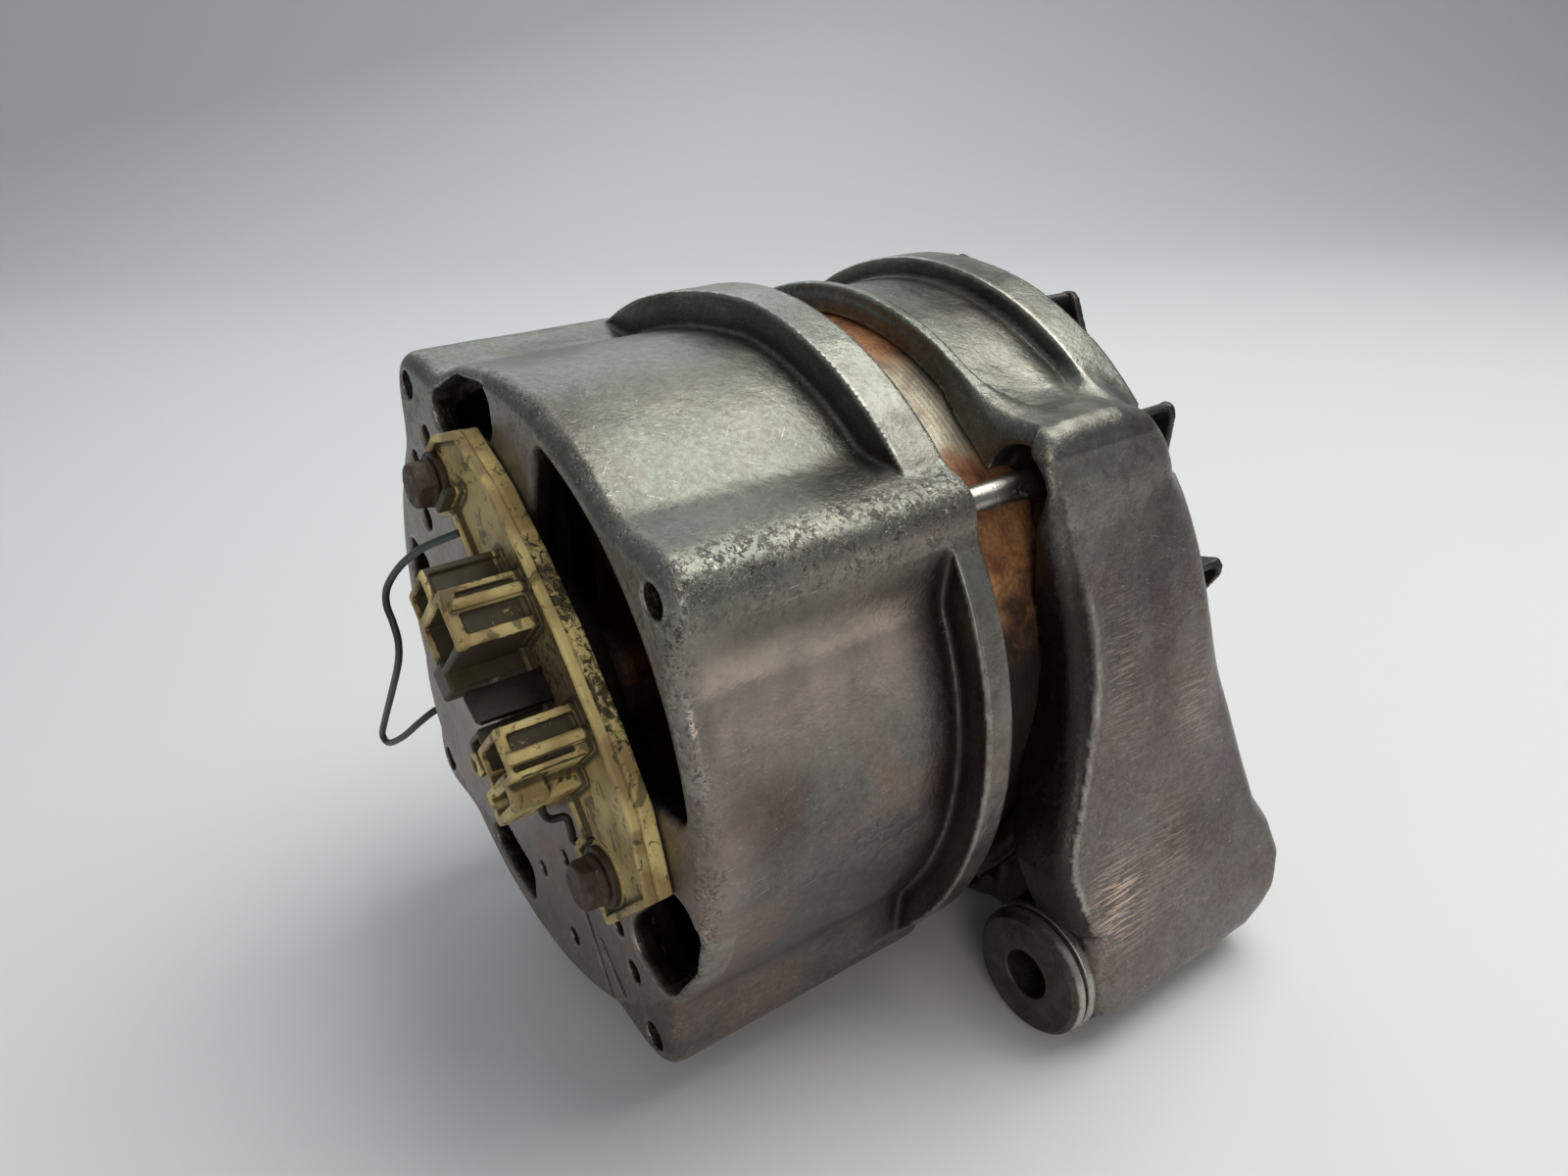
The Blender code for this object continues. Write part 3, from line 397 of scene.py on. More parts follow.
# ---------------------------------------------------------------- materials
class Finish:
    """A procedural material. Sizes are in millimetres on the object itself."""

    def __init__(self, name):
        self.mat = bpy.data.materials.new(name)
        self.mat.use_nodes = True
        self.tree = self.mat.node_tree
        self.shader = self.tree.nodes["Principled BSDF"]
        self.co = self.tree.nodes.new("ShaderNodeTexCoord").outputs["Object"]

    def node(self, kind, **values):
        made = self.tree.nodes.new(kind)
        for key, value in values.items():
            setattr(made, key, value)
        return made

    def wire(self, value, socket):
        if isinstance(value, bpy.types.NodeSocket):
            self.tree.links.new(value, socket)
        elif isinstance(value, (tuple, list)) and len(value) == 3 and socket.type == "RGBA":
            socket.default_value = (*value, 1.0)
        else:
            socket.default_value = value

    def stretch(self, scale, turn=(0, 0, 0)):
        first = self.node("ShaderNodeMapping")
        self.wire(self.co, first.inputs["Vector"])
        first.inputs["Rotation"].default_value = tuple(math.radians(t) for t in turn)
        m = self.node("ShaderNodeMapping")
        self.wire(first.outputs["Vector"], m.inputs["Vector"])
        m.inputs["Scale"].default_value = scale
        return m.outputs["Vector"]

    def scratches(self, length, width, turn, amount=0.7, shift=0.0):
        """Fine lines along one direction: 1 on a line, 0 elsewhere."""
        k = length / width
        t = self.noise(length, 2, 0.5, vector=self.stretch((1.0, k, k), turn), shift=shift)
        return self.ramp(t, (amount, 0.0), (amount + 0.02, 1.0))

    def noise(self, size, detail=4.0, rough=0.55, warp=0.0, vector=None, shift=0.0):
        t = self.node("ShaderNodeTexNoise")
        source = vector or self.co
        if shift:
            add = self.node("ShaderNodeVectorMath", operation="ADD")
            self.wire(source, add.inputs[0])
            add.inputs[1].default_value = (shift, shift * 0.7, shift * 1.3)
            source = add.outputs[0]
        self.wire(source, t.inputs["Vector"])
        t.inputs["Scale"].default_value = 1000.0 / size
        t.inputs["Detail"].default_value = detail
        t.inputs["Roughness"].default_value = rough
        t.inputs["Distortion"].default_value = warp
        return t.outputs["Fac"]

    def cells(self, size, feature="F1", vector=None, random=1.0):
        t = self.node("ShaderNodeTexVoronoi", feature=feature)
        self.wire(vector or self.co, t.inputs["Vector"])
        t.inputs["Scale"].default_value = 1000.0 / size
        t.inputs["Randomness"].default_value = random
        return t.outputs["Distance"]

    def ramp(self, fac, *stops, mode="LINEAR"):
        t = self.node("ShaderNodeValToRGB")
        t.color_ramp.interpolation = mode
        while len(t.color_ramp.elements) < len(stops):
            t.color_ramp.elements.new(0.5)
        for element, (pos, value) in zip(t.color_ramp.elements, stops):
            element.position = pos
            element.color = (*value, 1.0) if isinstance(value, tuple) else (value, value, value, 1.0)
        self.wire(fac, t.inputs["Fac"])
        return t.outputs["Color"]

    def mix(self, fac, a, b, mode="MIX"):
        t = self.node("ShaderNodeMix", data_type="RGBA", blend_type=mode)
        self.wire(fac, t.inputs[0])
        self.wire(a, t.inputs[6])
        self.wire(b, t.inputs[7])
        return t.outputs[2]

    def math(self, op, a, b=0.0, clamp=False):
        t = self.node("ShaderNodeMath", operation=op, use_clamp=clamp)
        self.wire(a, t.inputs[0])
        self.wire(b, t.inputs[1])
        return t.outputs[0]

    def span(self, value, a, b, c=0.0, d=1.0, smooth=True):
        t = self.node("ShaderNodeMapRange", interpolation_type="SMOOTHSTEP" if smooth else "LINEAR")
        self.wire(value, t.inputs["Value"])
        for key, v in (("From Min", a), ("From Max", b), ("To Min", c), ("To Max", d)):
            t.inputs[key].default_value = v
        return t.outputs["Result"]

    def layer(self, name):
        return self.node("ShaderNodeAttribute", attribute_name=name).outputs["Fac"]

    def axis(self, which, vector=None):
        t = self.node("ShaderNodeSeparateXYZ")
        self.wire(vector or self.co, t.inputs[0])
        return t.outputs[which]

    def radius(self, at=None):
        """Distance from the shaft's line, in metres."""
        y = self.math("SUBTRACT", self.axis(1), (ORIGIN[1] + (at[0] if at else 0)) / 1000)
        z = self.math("SUBTRACT", self.axis(2), (ORIGIN[2] + (at[1] if at else 0)) / 1000)
        return self.math("SQRT", self.math("ADD", self.math("MULTIPLY", y, y), self.math("MULTIPLY", z, z)))

    def bump(self, height, depth, after=None):
        t = self.node("ShaderNodeBump")
        self.wire(height, t.inputs["Height"])
        t.inputs["Distance"].default_value = depth / 1000.0
        t.inputs["Strength"].default_value = 1.0
        if after is not None:
            self.wire(after, t.inputs["Normal"])
        return t.outputs["Normal"]

    def done(self, **inputs):
        for key, value in inputs.items():
            self.wire(value, self.shader.inputs[key.replace("_", " ")])
        return self.mat


def cast(name, high, low, pale, rough=0.40, speck=0.5, stain_and_shade=(0.045, 0.032, 0.026), level=(0.055, 0.115), metal=0.8, grime_and_shade=1.0, copper=(0.30, 0.185, 0.13)):
    """Old cast aluminium: greyer above, browner below (partly a painted reflection), with pitted edges, dirt in the
    corners, painted shade in recesses, fine scratches, and painted light, highlights and shade laid on from the layers.
    """
    m = Finish(name)
    cloud = m.noise(30, 3, 0.5)
    patch = m.noise(8, 4, 0.6, 0.3)
    grain = m.noise(1.5, 3, 0.65, shift=3.1)
    fine = m.noise(0.5, 2, 0.6, shift=7.7)
    # greyer and lighter above, browner below by height: partly oxide, partly a painted reflection of the light from
    # above
    z = m.math("ADD", m.axis(2), m.math("MULTIPLY", m.math("SUBTRACT", cloud, 0.5), 0.06))
    up = m.span(z, *level)
    colour = m.mix(up, low, high)
    colour = m.mix(m.math("MULTIPLY", m.ramp(patch, (0.42, 0.0), (0.72, 1.0)), 0.35), colour, pale)
    # copper-tinted patches, heavier lower down: partly discolouration, partly a painted warm reflection
    tint = m.math("MULTIPLY", m.ramp(m.noise(17, 3, 0.55, 0.4, shift=6.1), (0.48, 0.0), (0.66, 1.0)), m.math("SUBTRACT", 0.62, m.math("MULTIPLY", up, 0.5)))
    colour = m.mix(m.math("MULTIPLY", tint, 0.8), colour, copper)
    colour = m.mix(m.math("MULTIPLY", m.ramp(cloud, (0.34, 1.0), (0.54, 0.0)), 0.5), colour, stain_and_shade)
    colour = m.mix(1.0, colour, m.ramp(grain, (0.30, 0.80), (0.70, 1.15)), "MULTIPLY")
    colour = m.mix(1.0, colour, m.ramp(fine, (0.30, 0.86), (0.70, 1.12)), "MULTIPLY")
    # painted light: a pinkish reflection and lighter patches, laid on where the layer marks them
    painted_light = m.math("MULTIPLY", m.layer("painted_light"), m.ramp(m.noise(9, 4, 0.6, 0.4, shift=3.3), (0.30, 0.45), (0.62, 1.0)))
    colour = m.mix(m.math("MULTIPLY", painted_light, 0.85), colour, (0.56, 0.45, 0.385))
    edge = m.layer("wear")
    broken = m.ramp(m.noise(3.2, 4, 0.7, shift=1.9), (0.40, 0.0), (0.64, 1.0))
    worn = m.math("MULTIPLY", m.span(edge, 0.06, 0.30), m.math("ADD", 0.18, m.math("MULTIPLY", broken, 0.82)))
    colour = m.mix(m.math("MULTIPLY", worn, 0.62), colour, tuple(min(1.0, c * 1.25 + 0.02) for c in pale))
    # rubbed metal together with painted highlights, lightened from one layer
    rub_and_highlight = m.layer("rub_and_highlight")
    rubbed_and_highlit = m.math("MULTIPLY", rub_and_highlight, m.ramp(m.noise(4, 4, 0.65, 0.3, shift=4.4), (0.34, 0.25), (0.62, 1.0)))
    colour = m.mix(m.math("MULTIPLY", rubbed_and_highlit, 0.8), colour, tuple(min(1.0, c * 1.55 + 0.05) for c in pale))
    pitted = m.layer("pitted")
    sparse = m.ramp(m.noise(4.5, 3, 0.6, shift=12.0), (0.38, 0.15), (0.62, 1.0))
    pitted = m.math("MULTIPLY", pitted, sparse)
    pits = m.math("MULTIPLY", m.ramp(m.noise(1.1, 4, 0.75, 0.3, shift=2.9), (0.40, 1.0), (0.50, 0.0)), m.math("MULTIPLY", m.math("ADD", 0.09, m.math("MULTIPLY", pitted, 1.1)), speck), clamp=True)
    colour = m.mix(pits, colour, stain_and_shade)
    glints = m.math("MULTIPLY", m.ramp(m.noise(0.8, 3, 0.7, shift=8.3), (0.60, 0.0), (0.70, 1.0)), m.math("MULTIPLY", m.math("ADD", 0.05, m.math("MULTIPLY", pitted, 0.8)), speck), clamp=True)
    colour = m.mix(glints, colour, tuple(min(1.0, c * 1.7 + 0.08) for c in pale))
    dirt = m.math("MULTIPLY", m.span(m.layer("dirt"), 0.06, 0.6), m.ramp(m.noise(3, 4, 0.6, shift=5.0), (0.2, 0.85), (0.8, 0.45)))
    colour = m.mix(m.math("MULTIPLY", dirt, 0.85 * grime_and_shade), colour, tuple(c * 0.5 for c in stain_and_shade))
    # painted shade, darker deep in recesses
    colour = m.mix(m.math("MULTIPLY", m.span(m.layer("recess_shade"), 0.30, 0.95), 0.72 * grime_and_shade), colour, tuple(c * 0.5 for c in stain_and_shade))
    lines = m.math("MAXIMUM", m.scratches(14, 0.26, (0, 6, 4), 0.715), m.scratches(12, 0.26, (0, -18, 22), 0.72, 2.0))
    lines = m.math("MAXIMUM", lines, m.scratches(12, 0.24, (75, -38, 58), 0.72, 5.0))
    lines = m.math("MAXIMUM", lines, m.scratches(10, 0.22, (0, 30, -40), 0.725, 9.0))
    colour = m.mix(m.math("MULTIPLY", lines, 0.5), colour, tuple(min(1.0, c * 1.6 + 0.12) for c in pale))
    scored = m.math("MULTIPLY", m.layer("scored"), m.math("MAXIMUM", m.scratches(8, 0.34, (0, 1.5, -0.3), 0.565, 1.0), m.scratches(6, 0.28, (0, -7.0, 1.4), 0.60, 3.0)))
    colour = m.mix(m.math("MULTIPLY", scored, 0.95), colour, (0.72, 0.54, 0.43))
    # painted shade: darkens towards a deep brown where the shade layer marks it
    colour = m.mix(m.math("MULTIPLY", m.layer("shade"), 0.9), colour, tuple(c * 0.35 for c in stain_and_shade))
    roughness = m.math("ADD", rough, m.math("MULTIPLY", m.math("SUBTRACT", patch, 0.5), 0.35))
    roughness = m.math("SUBTRACT", roughness, m.math("MULTIPLY", m.math("MAXIMUM", worn, rubbed_and_highlit), 0.08))
    roughness = m.math("ADD", roughness, m.math("MULTIPLY", dirt, 0.3), clamp=True)
    metallic = m.math("SUBTRACT", metal, m.math("MULTIPLY", m.math("MAXIMUM", dirt, pits), 0.6), clamp=True)
    height = m.math("ADD", m.math("MULTIPLY", grain, 0.6), m.math("MULTIPLY", fine, 0.35))
    height = m.math("SUBTRACT", height, m.math("MULTIPLY", pits, 0.7))
    normal = m.bump(height, 0.11)
    normal = m.bump(patch, 0.40, normal)
    normal = m.bump(cloud, 0.9, normal)
    return m.done(Base_Color=colour, Roughness=roughness, Metallic=metallic, Normal=normal)


def steel(name, colour, rough=0.35, metal=1.0, rust=0.0, rust_colour=(0.16, 0.065, 0.025), turned=0.0):
    m = Finish(name)
    patch = m.noise(5, 4, 0.6)
    fine = m.noise(0.7, 3, 0.6, shift=4.0)
    base = m.mix(m.ramp(patch, (0.3, 0.0), (0.8, 1.0)), tuple(c * 0.8 for c in colour), tuple(min(1.0, c * 1.15) for c in colour))
    spots = m.ramp(m.noise(2.2, 5, 0.7, 0.4, shift=2.2), (0.62 - 0.4 * rust, 0.0), (0.80 - 0.4 * rust, 1.0))
    tint = m.mix(m.noise(1.1, 4, 0.7, shift=9.0), tuple(c * 0.45 for c in rust_colour), tuple(min(1.0, c * 1.7) for c in rust_colour))
    base = m.mix(spots, base, tint)
    roughness = m.math("ADD", m.math("ADD", rough, m.math("MULTIPLY", m.math("SUBTRACT", patch, 0.5), 0.2)), m.math("MULTIPLY", spots, 0.35), clamp=True)
    metallic = m.math("SUBTRACT", metal, m.math("MULTIPLY", spots, 0.7), clamp=True)
    height = m.math("ADD", fine, m.math("MULTIPLY", spots, 0.8))
    normal = m.bump(height, 0.05)
    if turned:
        rings = m.noise(0.5, 2, 0.5, vector=m.stretch((1.0, 0.02, 0.02)))
        normal = m.bump(rings, turned, normal)
    return m.done(Base_Color=base, Roughness=roughness, Metallic=metallic, Normal=normal)


def laminations(name):
    """The stator's edge: rusted sheets, rubbed bright with a painted highlight along the top, and painted shadow lower
    down.
    """
    m = Finish(name)
    sheets = m.node("ShaderNodeTexWave", wave_type="BANDS", bands_direction="X", wave_profile="SIN")
    m.wire(m.co, sheets.inputs["Vector"])
    sheets.inputs["Scale"].default_value = 1000.0 / 0.62 / 6.2832 * 1.0
    sheets.inputs["Distortion"].default_value = 0.6
    patch = m.noise(6, 5, 0.65, 0.4)
    cloud = m.noise(22, 3, 0.5, shift=1.0)
    fine = m.noise(0.8, 4, 0.7, shift=3.0)
    rust = m.ramp(patch, (0.28, (0.060, 0.022, 0.012)), (0.45, (0.27, 0.105, 0.042)), (0.62, (0.45, 0.22, 0.085)), (0.8, (0.52, 0.33, 0.15)))
    rust = m.mix(m.math("MULTIPLY", m.ramp(fine, (0.35, 1.0), (0.6, 0.0)), 0.5), rust, (0.07, 0.03, 0.018))
    z = m.math("ADD", m.axis(2), m.math("MULTIPLY", m.math("SUBTRACT", cloud, 0.5), 0.022))
    y = m.math("SUBTRACT", m.axis(1), ORIGIN[1] / 1000)
    lean = m.math("DIVIDE", y, m.math("SUBTRACT", z, ORIGIN[2] / 1000))
    # rubbed sheets and a painted highlight on the top, at about 118 to 130 degrees
    rubbed_and_highlit = m.math("MULTIPLY", m.span(lean, -1.15, -0.85), m.span(lean, -0.30, -0.52))
    rubbed_and_highlit = m.math("MULTIPLY", rubbed_and_highlit, m.span(z, 0.09, 0.105))
    rubbed_and_highlit = m.math("MULTIPLY", rubbed_and_highlit, m.ramp(patch, (0.25, 0.55), (0.6, 1.0)))
    bright = m.mix(patch, (0.20, 0.19, 0.14), (0.36, 0.36, 0.28))
    colour = m.mix(rubbed_and_highlit, rust, bright)
    # painted shadow: near black lower down, where the stator lies in shade between the housings
    shade = m.span(m.math("ADD", m.axis(2), m.math("MULTIPLY", m.math("SUBTRACT", patch, 0.5), 0.02)), 0.100, 0.080)
    colour = m.mix(m.math("MULTIPLY", shade, 0.96), colour, (0.008, 0.005, 0.004))
    roughness = m.math("SUBTRACT", 0.72, m.math("MULTIPLY", rubbed_and_highlit, 0.34))
    metallic = m.math("ADD", 0.35, m.math("MULTIPLY", rubbed_and_highlit, 0.5))
    height = m.math("ADD", m.math("MULTIPLY", sheets.outputs["Fac"], 0.22), fine)
    normal = m.bump(height, 0.08)
    return m.done(Base_Color=colour, Roughness=roughness, Metallic=metallic, Normal=normal)


def plastic(name):
    """Cream moulded plastic, yellowed, with black-green grease where hands and oil got to it."""
    m = Finish(name)
    patch = m.noise(5, 4, 0.6, 0.3)
    grease = m.noise(6.5, 5, 0.62, 0.8, shift=2.6)
    fine = m.noise(0.7, 4, 0.7, shift=5.0)
    base = m.mix(m.ramp(patch, (0.3, 0.0), (0.7, 1.0)), (0.42, 0.275, 0.08), (0.68, 0.525, 0.18))
    edge = m.span(m.layer("wear"), 0.06, 0.3)
    base = m.mix(m.math("MULTIPLY", edge, 0.7), base, (0.78, 0.655, 0.29))
    brown = m.math("MULTIPLY", m.ramp(m.noise(11, 3, 0.5, shift=8.0), (0.42, 0.0), (0.60, 1.0)), 0.72)
    base = m.mix(brown, base, (0.22, 0.13, 0.05))
    hold = m.math("SUBTRACT", 1.0, m.math("MULTIPLY", edge, 0.30))
    darkening = m.math("MULTIPLY", m.ramp(grease, (0.575, 0.0), (0.62, 1.0)), hold)
    smear = m.math("MULTIPLY", m.ramp(m.noise(2.6, 5, 0.7, 0.6, shift=11.0), (0.60, 0.0), (0.65, 1.0)), m.math("SUBTRACT", 1.0, m.math("MULTIPLY", edge, 0.15)))
    darkening = m.math("MAXIMUM", darkening, smear)
    darkening = m.math("MAXIMUM", darkening, m.math("MULTIPLY", m.span(m.layer("dirt"), 0.18, 0.62), m.ramp(fine, (0.2, 1.0), (0.8, 0.75))))
    # darker where the block's own layer marks it: the connectors' sides and panels, under them and between them
    told = m.layer("darkening")
    ragged = m.math("ADD", told, m.math("MULTIPLY", m.math("SUBTRACT", m.noise(1.6, 5, 0.7, 0.5, shift=3.7), 0.5), 1.5))
    darkening = m.math("MAXIMUM", darkening, m.span(ragged, 0.42, 0.62))
    darkening = m.math("MAXIMUM", darkening, m.span(told, 0.9, 1.0))
    dark = m.mix(patch, (0.014, 0.011, 0.007), (0.048, 0.044, 0.026))
    base = m.mix(m.math("MULTIPLY", m.layer("stain_and_shade"), 0.9), base, m.mix(fine, (0.060, 0.040, 0.020), (0.14, 0.095, 0.045)))
    colour = m.mix(m.math("MULTIPLY", darkening, 0.95), base, dark)
    colour = m.mix(m.math("MULTIPLY", m.ramp(fine, (0.30, 1.0), (0.40, 0.0)), 0.5), colour, (0.10, 0.08, 0.04))
    roughness = m.math("ADD", 0.50, m.math("MULTIPLY", m.math("SUBTRACT", fine, 0.5), 0.3), clamp=True)
    normal = m.bump(m.math("ADD", fine, m.math("MULTIPLY", darkening, 0.5)), 0.08)
    return m.done(Base_Color=colour, Roughness=roughness, Metallic=0.0, Normal=normal, Specular_IOR_Level=0.28)


def dull(name, colour, rough=0.5, metal=0.0, dust=0.25, dust_colour=(0.16, 0.12, 0.09), size=3.0):
    m = Finish(name)
    patch = m.noise(size, 5, 0.65, 0.3)
    fine = m.noise(0.8, 3, 0.6, shift=4.0)
    base = m.mix(m.math("MULTIPLY", m.ramp(patch, (0.45, 0.0), (0.75, 1.0)), dust), tuple(c * 0.9 for c in colour), dust_colour)
    base = m.mix(1.0, base, m.ramp(fine, (0.3, 0.8), (0.7, 1.15)), "MULTIPLY")
    roughness = m.math("ADD", rough, m.math("MULTIPLY", m.math("SUBTRACT", patch, 0.5), 0.3), clamp=True)
    return m.done(Base_Color=base, Roughness=roughness, Metallic=metal, Normal=m.bump(fine, 0.06))


def worn_black(name):
    """Black sheet steel whose edges have gone brown."""
    m = Finish(name)
    patch = m.noise(4, 5, 0.65, 0.4)
    fine = m.noise(0.8, 3, 0.6, shift=4.0)
    edge = m.math("MULTIPLY", m.span(m.layer("wear"), 0.25, 0.6), m.ramp(patch, (0.40, 0.0), (0.65, 1.0)))
    base = m.mix(m.ramp(patch, (0.5, 0.0), (0.8, 1.0)), (0.012, 0.012, 0.013), (0.035, 0.032, 0.030))
    base = m.mix(m.math("MULTIPLY", edge, 0.5), base, (0.13, 0.10, 0.075))
    roughness = m.math("ADD", 0.42, m.math("MULTIPLY", m.math("SUBTRACT", patch, 0.5), 0.3), clamp=True)
    return m.done(Base_Color=base, Roughness=roughness, Metallic=0.15, Normal=m.bump(fine, 0.05))


REAR_MAT = cast("cast_rear", (0.152, 0.163, 0.138), (0.142, 0.126, 0.118), (0.28, 0.28, 0.24), rough=0.38, speck=1.0, metal=0.88)
DRIVE_MAT = cast("cast_drive", (0.178, 0.188, 0.160), (0.165, 0.136, 0.128), (0.33, 0.325, 0.275), rough=0.37, speck=0.8, metal=0.88, level=(0.090, 0.120), copper=(0.175, 0.122, 0.105))
LAMINATION_MAT = laminations("laminations")
CREAM_MAT = plastic("cream_plastic")
STEEL_MAT = steel("steel_plain", (0.50, 0.49, 0.46), 0.34, rust=0.05)
BOLT_MAT = steel("steel_bolt", (0.44, 0.42, 0.385), 0.30, rust=0.10, turned=0.03)
RUSTY_MAT = steel("steel_rusty", (0.085, 0.070, 0.058), 0.48, 0.75, rust=0.50, rust_colour=(0.060, 0.032, 0.019))
DARK_STEEL_MAT = steel("steel_dark", (0.10, 0.095, 0.09), 0.5, rust=0.15)
FORGED_MAT = steel("steel_forged", (0.16, 0.15, 0.14), 0.55, rust=0.3)
RIM_MAT = steel("steel_polished", (0.62, 0.60, 0.54), 0.22, rust=0.08, turned=0.04)
BLADE_MAT = dull("terminal_dark", (0.020, 0.016, 0.012), 0.50, 0.3, 0.5, (0.060, 0.038, 0.02), 2.0)


def bush_finish(name):
    """Dark oxidised steel, with its two rims rubbed bright."""
    m = Finish(name)
    r = m.radius((PIVOT_Y, PIVOT_Z))
    patch = m.noise(4, 4, 0.6, 0.3)
    fine = m.noise(0.6, 3, 0.6, shift=4.0)
    rims = m.math("MULTIPLY", m.span(m.math("ADD", r, m.math("MULTIPLY", m.math("SUBTRACT", patch, 0.5), 0.0003)), 0.01262, 0.01290), m.ramp(fine, (0.3, 0.75), (0.6, 1.0)))
    dark = m.mix(m.ramp(patch, (0.35, 0.0), (0.7, 1.0)), (0.045, 0.040, 0.036), (0.105, 0.088, 0.075))
    colour = m.mix(rims, dark, (0.44, 0.42, 0.37))
    lines = m.scratches(5, 0.25, (0, 0, 20), 0.66)
    colour = m.mix(m.math("MULTIPLY", lines, 0.35), colour, (0.4, 0.36, 0.3))
    rough = m.math("SUBTRACT", 0.45, m.math("MULTIPLY", rims, 0.20))
    rings = m.noise(0.5, 2, 0.5, vector=m.stretch((1.0, 0.05, 0.05)))
    return m.done(Base_Color=colour, Roughness=rough, Metallic=0.85, Normal=m.bump(rings, 0.03, m.bump(fine, 0.04)))


BUSH_MAT = bush_finish("bush_steel")
COPPER_MAT = steel("copper", (0.62, 0.27, 0.13), 0.3, rust=0.0)
FAN_MAT = worn_black("fan_black")
ENAMEL_MAT = dull("enamelled_wire", (0.085, 0.030, 0.014), 0.40, 0.2, 0.4, (0.05, 0.035, 0.025))
PHENOLIC_MAT = dull("moulded_dark", (0.022, 0.020, 0.018), 0.45, 0.0, 0.3)
CARBON_MAT = dull("carbon", (0.030, 0.030, 0.033), 0.5, 0.2, 0.2)
LEAD_MAT = dull("lead_cover", (0.018, 0.032, 0.026), 0.42, 0.0, 0.25, (0.07, 0.08, 0.06), 1.5)
ALU_PLATE_MAT = steel("alu_plate", (0.15, 0.145, 0.135), 0.5, rust=0.25, rust_colour=(0.060, 0.042, 0.030))


# ---------------------------------------------------------------- rear housing
def rear_housing(x, y, z):
    rr = np.hypot(y, z)
    deg = np.degrees(np.arctan2(z, y)) % 360.0
    body = rmax(outline(y, z, BARREL_R), -x, 3.4)
    body = rmax(body, x - 58.0, 0.7)
    # raised rim at the joint, set back further towards the top
    start = 48.5 - 6.0 * np.clip((98.0 - deg) / 26.0, 0, 1) * (deg > 40)
    start = np.where((deg > 146) & (deg < 232), 51.8, start)
    rim = rmax(rmax(rr - RIB_R, start - x, 0.5), x - 58.0, 0.9)
    body = rmin(body, rim, 0.9)
    boss = rmax(rmax(rr - 20.2, -11.8 - x, 2.2), x - 3.0, 0.2)
    body = rmin(body, boss, 1.6)
    cavity = rmax(rr - 57.8, 4.5 - x, 3.0)
    cavity = np.minimum(cavity, np.maximum(rr - 61.3, 52.0 - x))
    cavity = rmax(cavity, x - 75.0, 0)
    # inner ribs under the rear wall show through the wide opening
    rib = 1e9
    for a in (96.0, 186.0, 232.0, 276.0, 330.0):
        c, s = math.cos(math.radians(a)), math.sin(math.radians(a))
        across = np.abs(-y * s + z * c)
        along = y * c + z * s
        rib = np.minimum(rib, rmax(rmax(across - 1.6, x - 11.0, 0.8), 20.0 - along, 0.5))
    hollow = np.minimum(rr - 19.5, np.maximum(4.5 - x, -1e9))
    cavity = np.maximum(cavity, -rib)
    body = cut(body, cavity, 0.4)
    seat = rmax(rr - 16.3, -9.0 - x, 0.3)
    hub = rmax(rr - 20.2, x - 6.5, 0.3)
    body = np.minimum(body, np.maximum(hub, 2.0 - x))
    body = cut(body, rmax(seat, x - 12.0, 0), 0.4)
    through = np.abs(x + 3.5) - 9.5
    for lobe in LOBES:
        cy, cz = polar(BOLT_CIRCLE, lobe)
        hole = cyl(y, z, cy, cz, 2.8)
        body = cut(body, hole, 0.5)
    wide = sector(y, z, 36.0, 57.3, 108.5, 177.5, 3.0)
    body = cut(body, rmax(wide, through, 0), 1.5)
    vents = poly(y, z, [polar(60.0, 61.5), polar(61.2, 76.0), polar(60.6, 91.8), polar(50.2, 92.0), polar(50.6, 76.0), polar(52.6, 62.0)], 4.2)
    vents = np.minimum(vents, poly(y, z, [polar(45.6, 217.6), polar(52.4, 194.0), polar(61.0, 194.4), polar(61.4, 207.0), polar(60.8, 220.6), polar(47.4, 226.6)], 4.8))
    vents = np.minimum(vents, poly(y, z, [polar(57.0, 306.0), polar(45.3, 297.6), polar(46.0, 281.4), polar(56.7, 281.4), polar(57.2, 294.0)], 3.4))
    vents = np.minimum(vents, sector(y, z, 45.5, 57.0, 338.0, 378.0, 3.0))
    for r0, r1, a0, a1, w in ((43.6, 60.7, 249.5, 247.4, 0.75), (48.5, 58.2, 244.2, 241.2, 0.75)):
        (ay, az), (by, bz) = polar(r0, a0), polar(r1, a1)
        ey, ez = by - ay, bz - az
        t = np.clip(((y - ay) * ey + (z - az) * ez) / (ey * ey + ez * ez), 0, 1)
        vents = np.minimum(vents, np.hypot(y - ay - ey * t, z - az - ez * t) - w)
    for r, a, hole in ((51.7, 261.3, 1.9), (53.7, 231.5, 2.2), (32.7, 255.2, 1.7), (45.1, 230.1, 1.9), (41.5, 275.4, 1.7), (54.8, 53.2, 2.4), (55.8, 41.6, 2.2), (47.4, 31.5, 2.4)):
        cy, cz = polar(r, a)
        vents = np.minimum(vents, cyl(y, z, cy, cz, hole))
    body = cut(body, rmax(vents, through, 0), 0.7)
    for u, v in SCREW_UV:
        cy, cz = (u * EU[0] + v * EV[0], u * EU[1] + v * EV[1])
        body = cut(body, rmax(cyl(y, z, cy, cz, 2.3), through, 0), 0.4)
    return body


def castings_polar(p, normal):
    """Polar place on the castings, for rubbed, pitted, painted-highlight and painted-shade areas."""
    x, y, z = p[:, 0], p[:, 1], p[:, 2]
    rr, deg = np.hypot(y, z), np.degrees(np.arctan2(z, y)) % 360.0
    return x, y, z, rr, deg


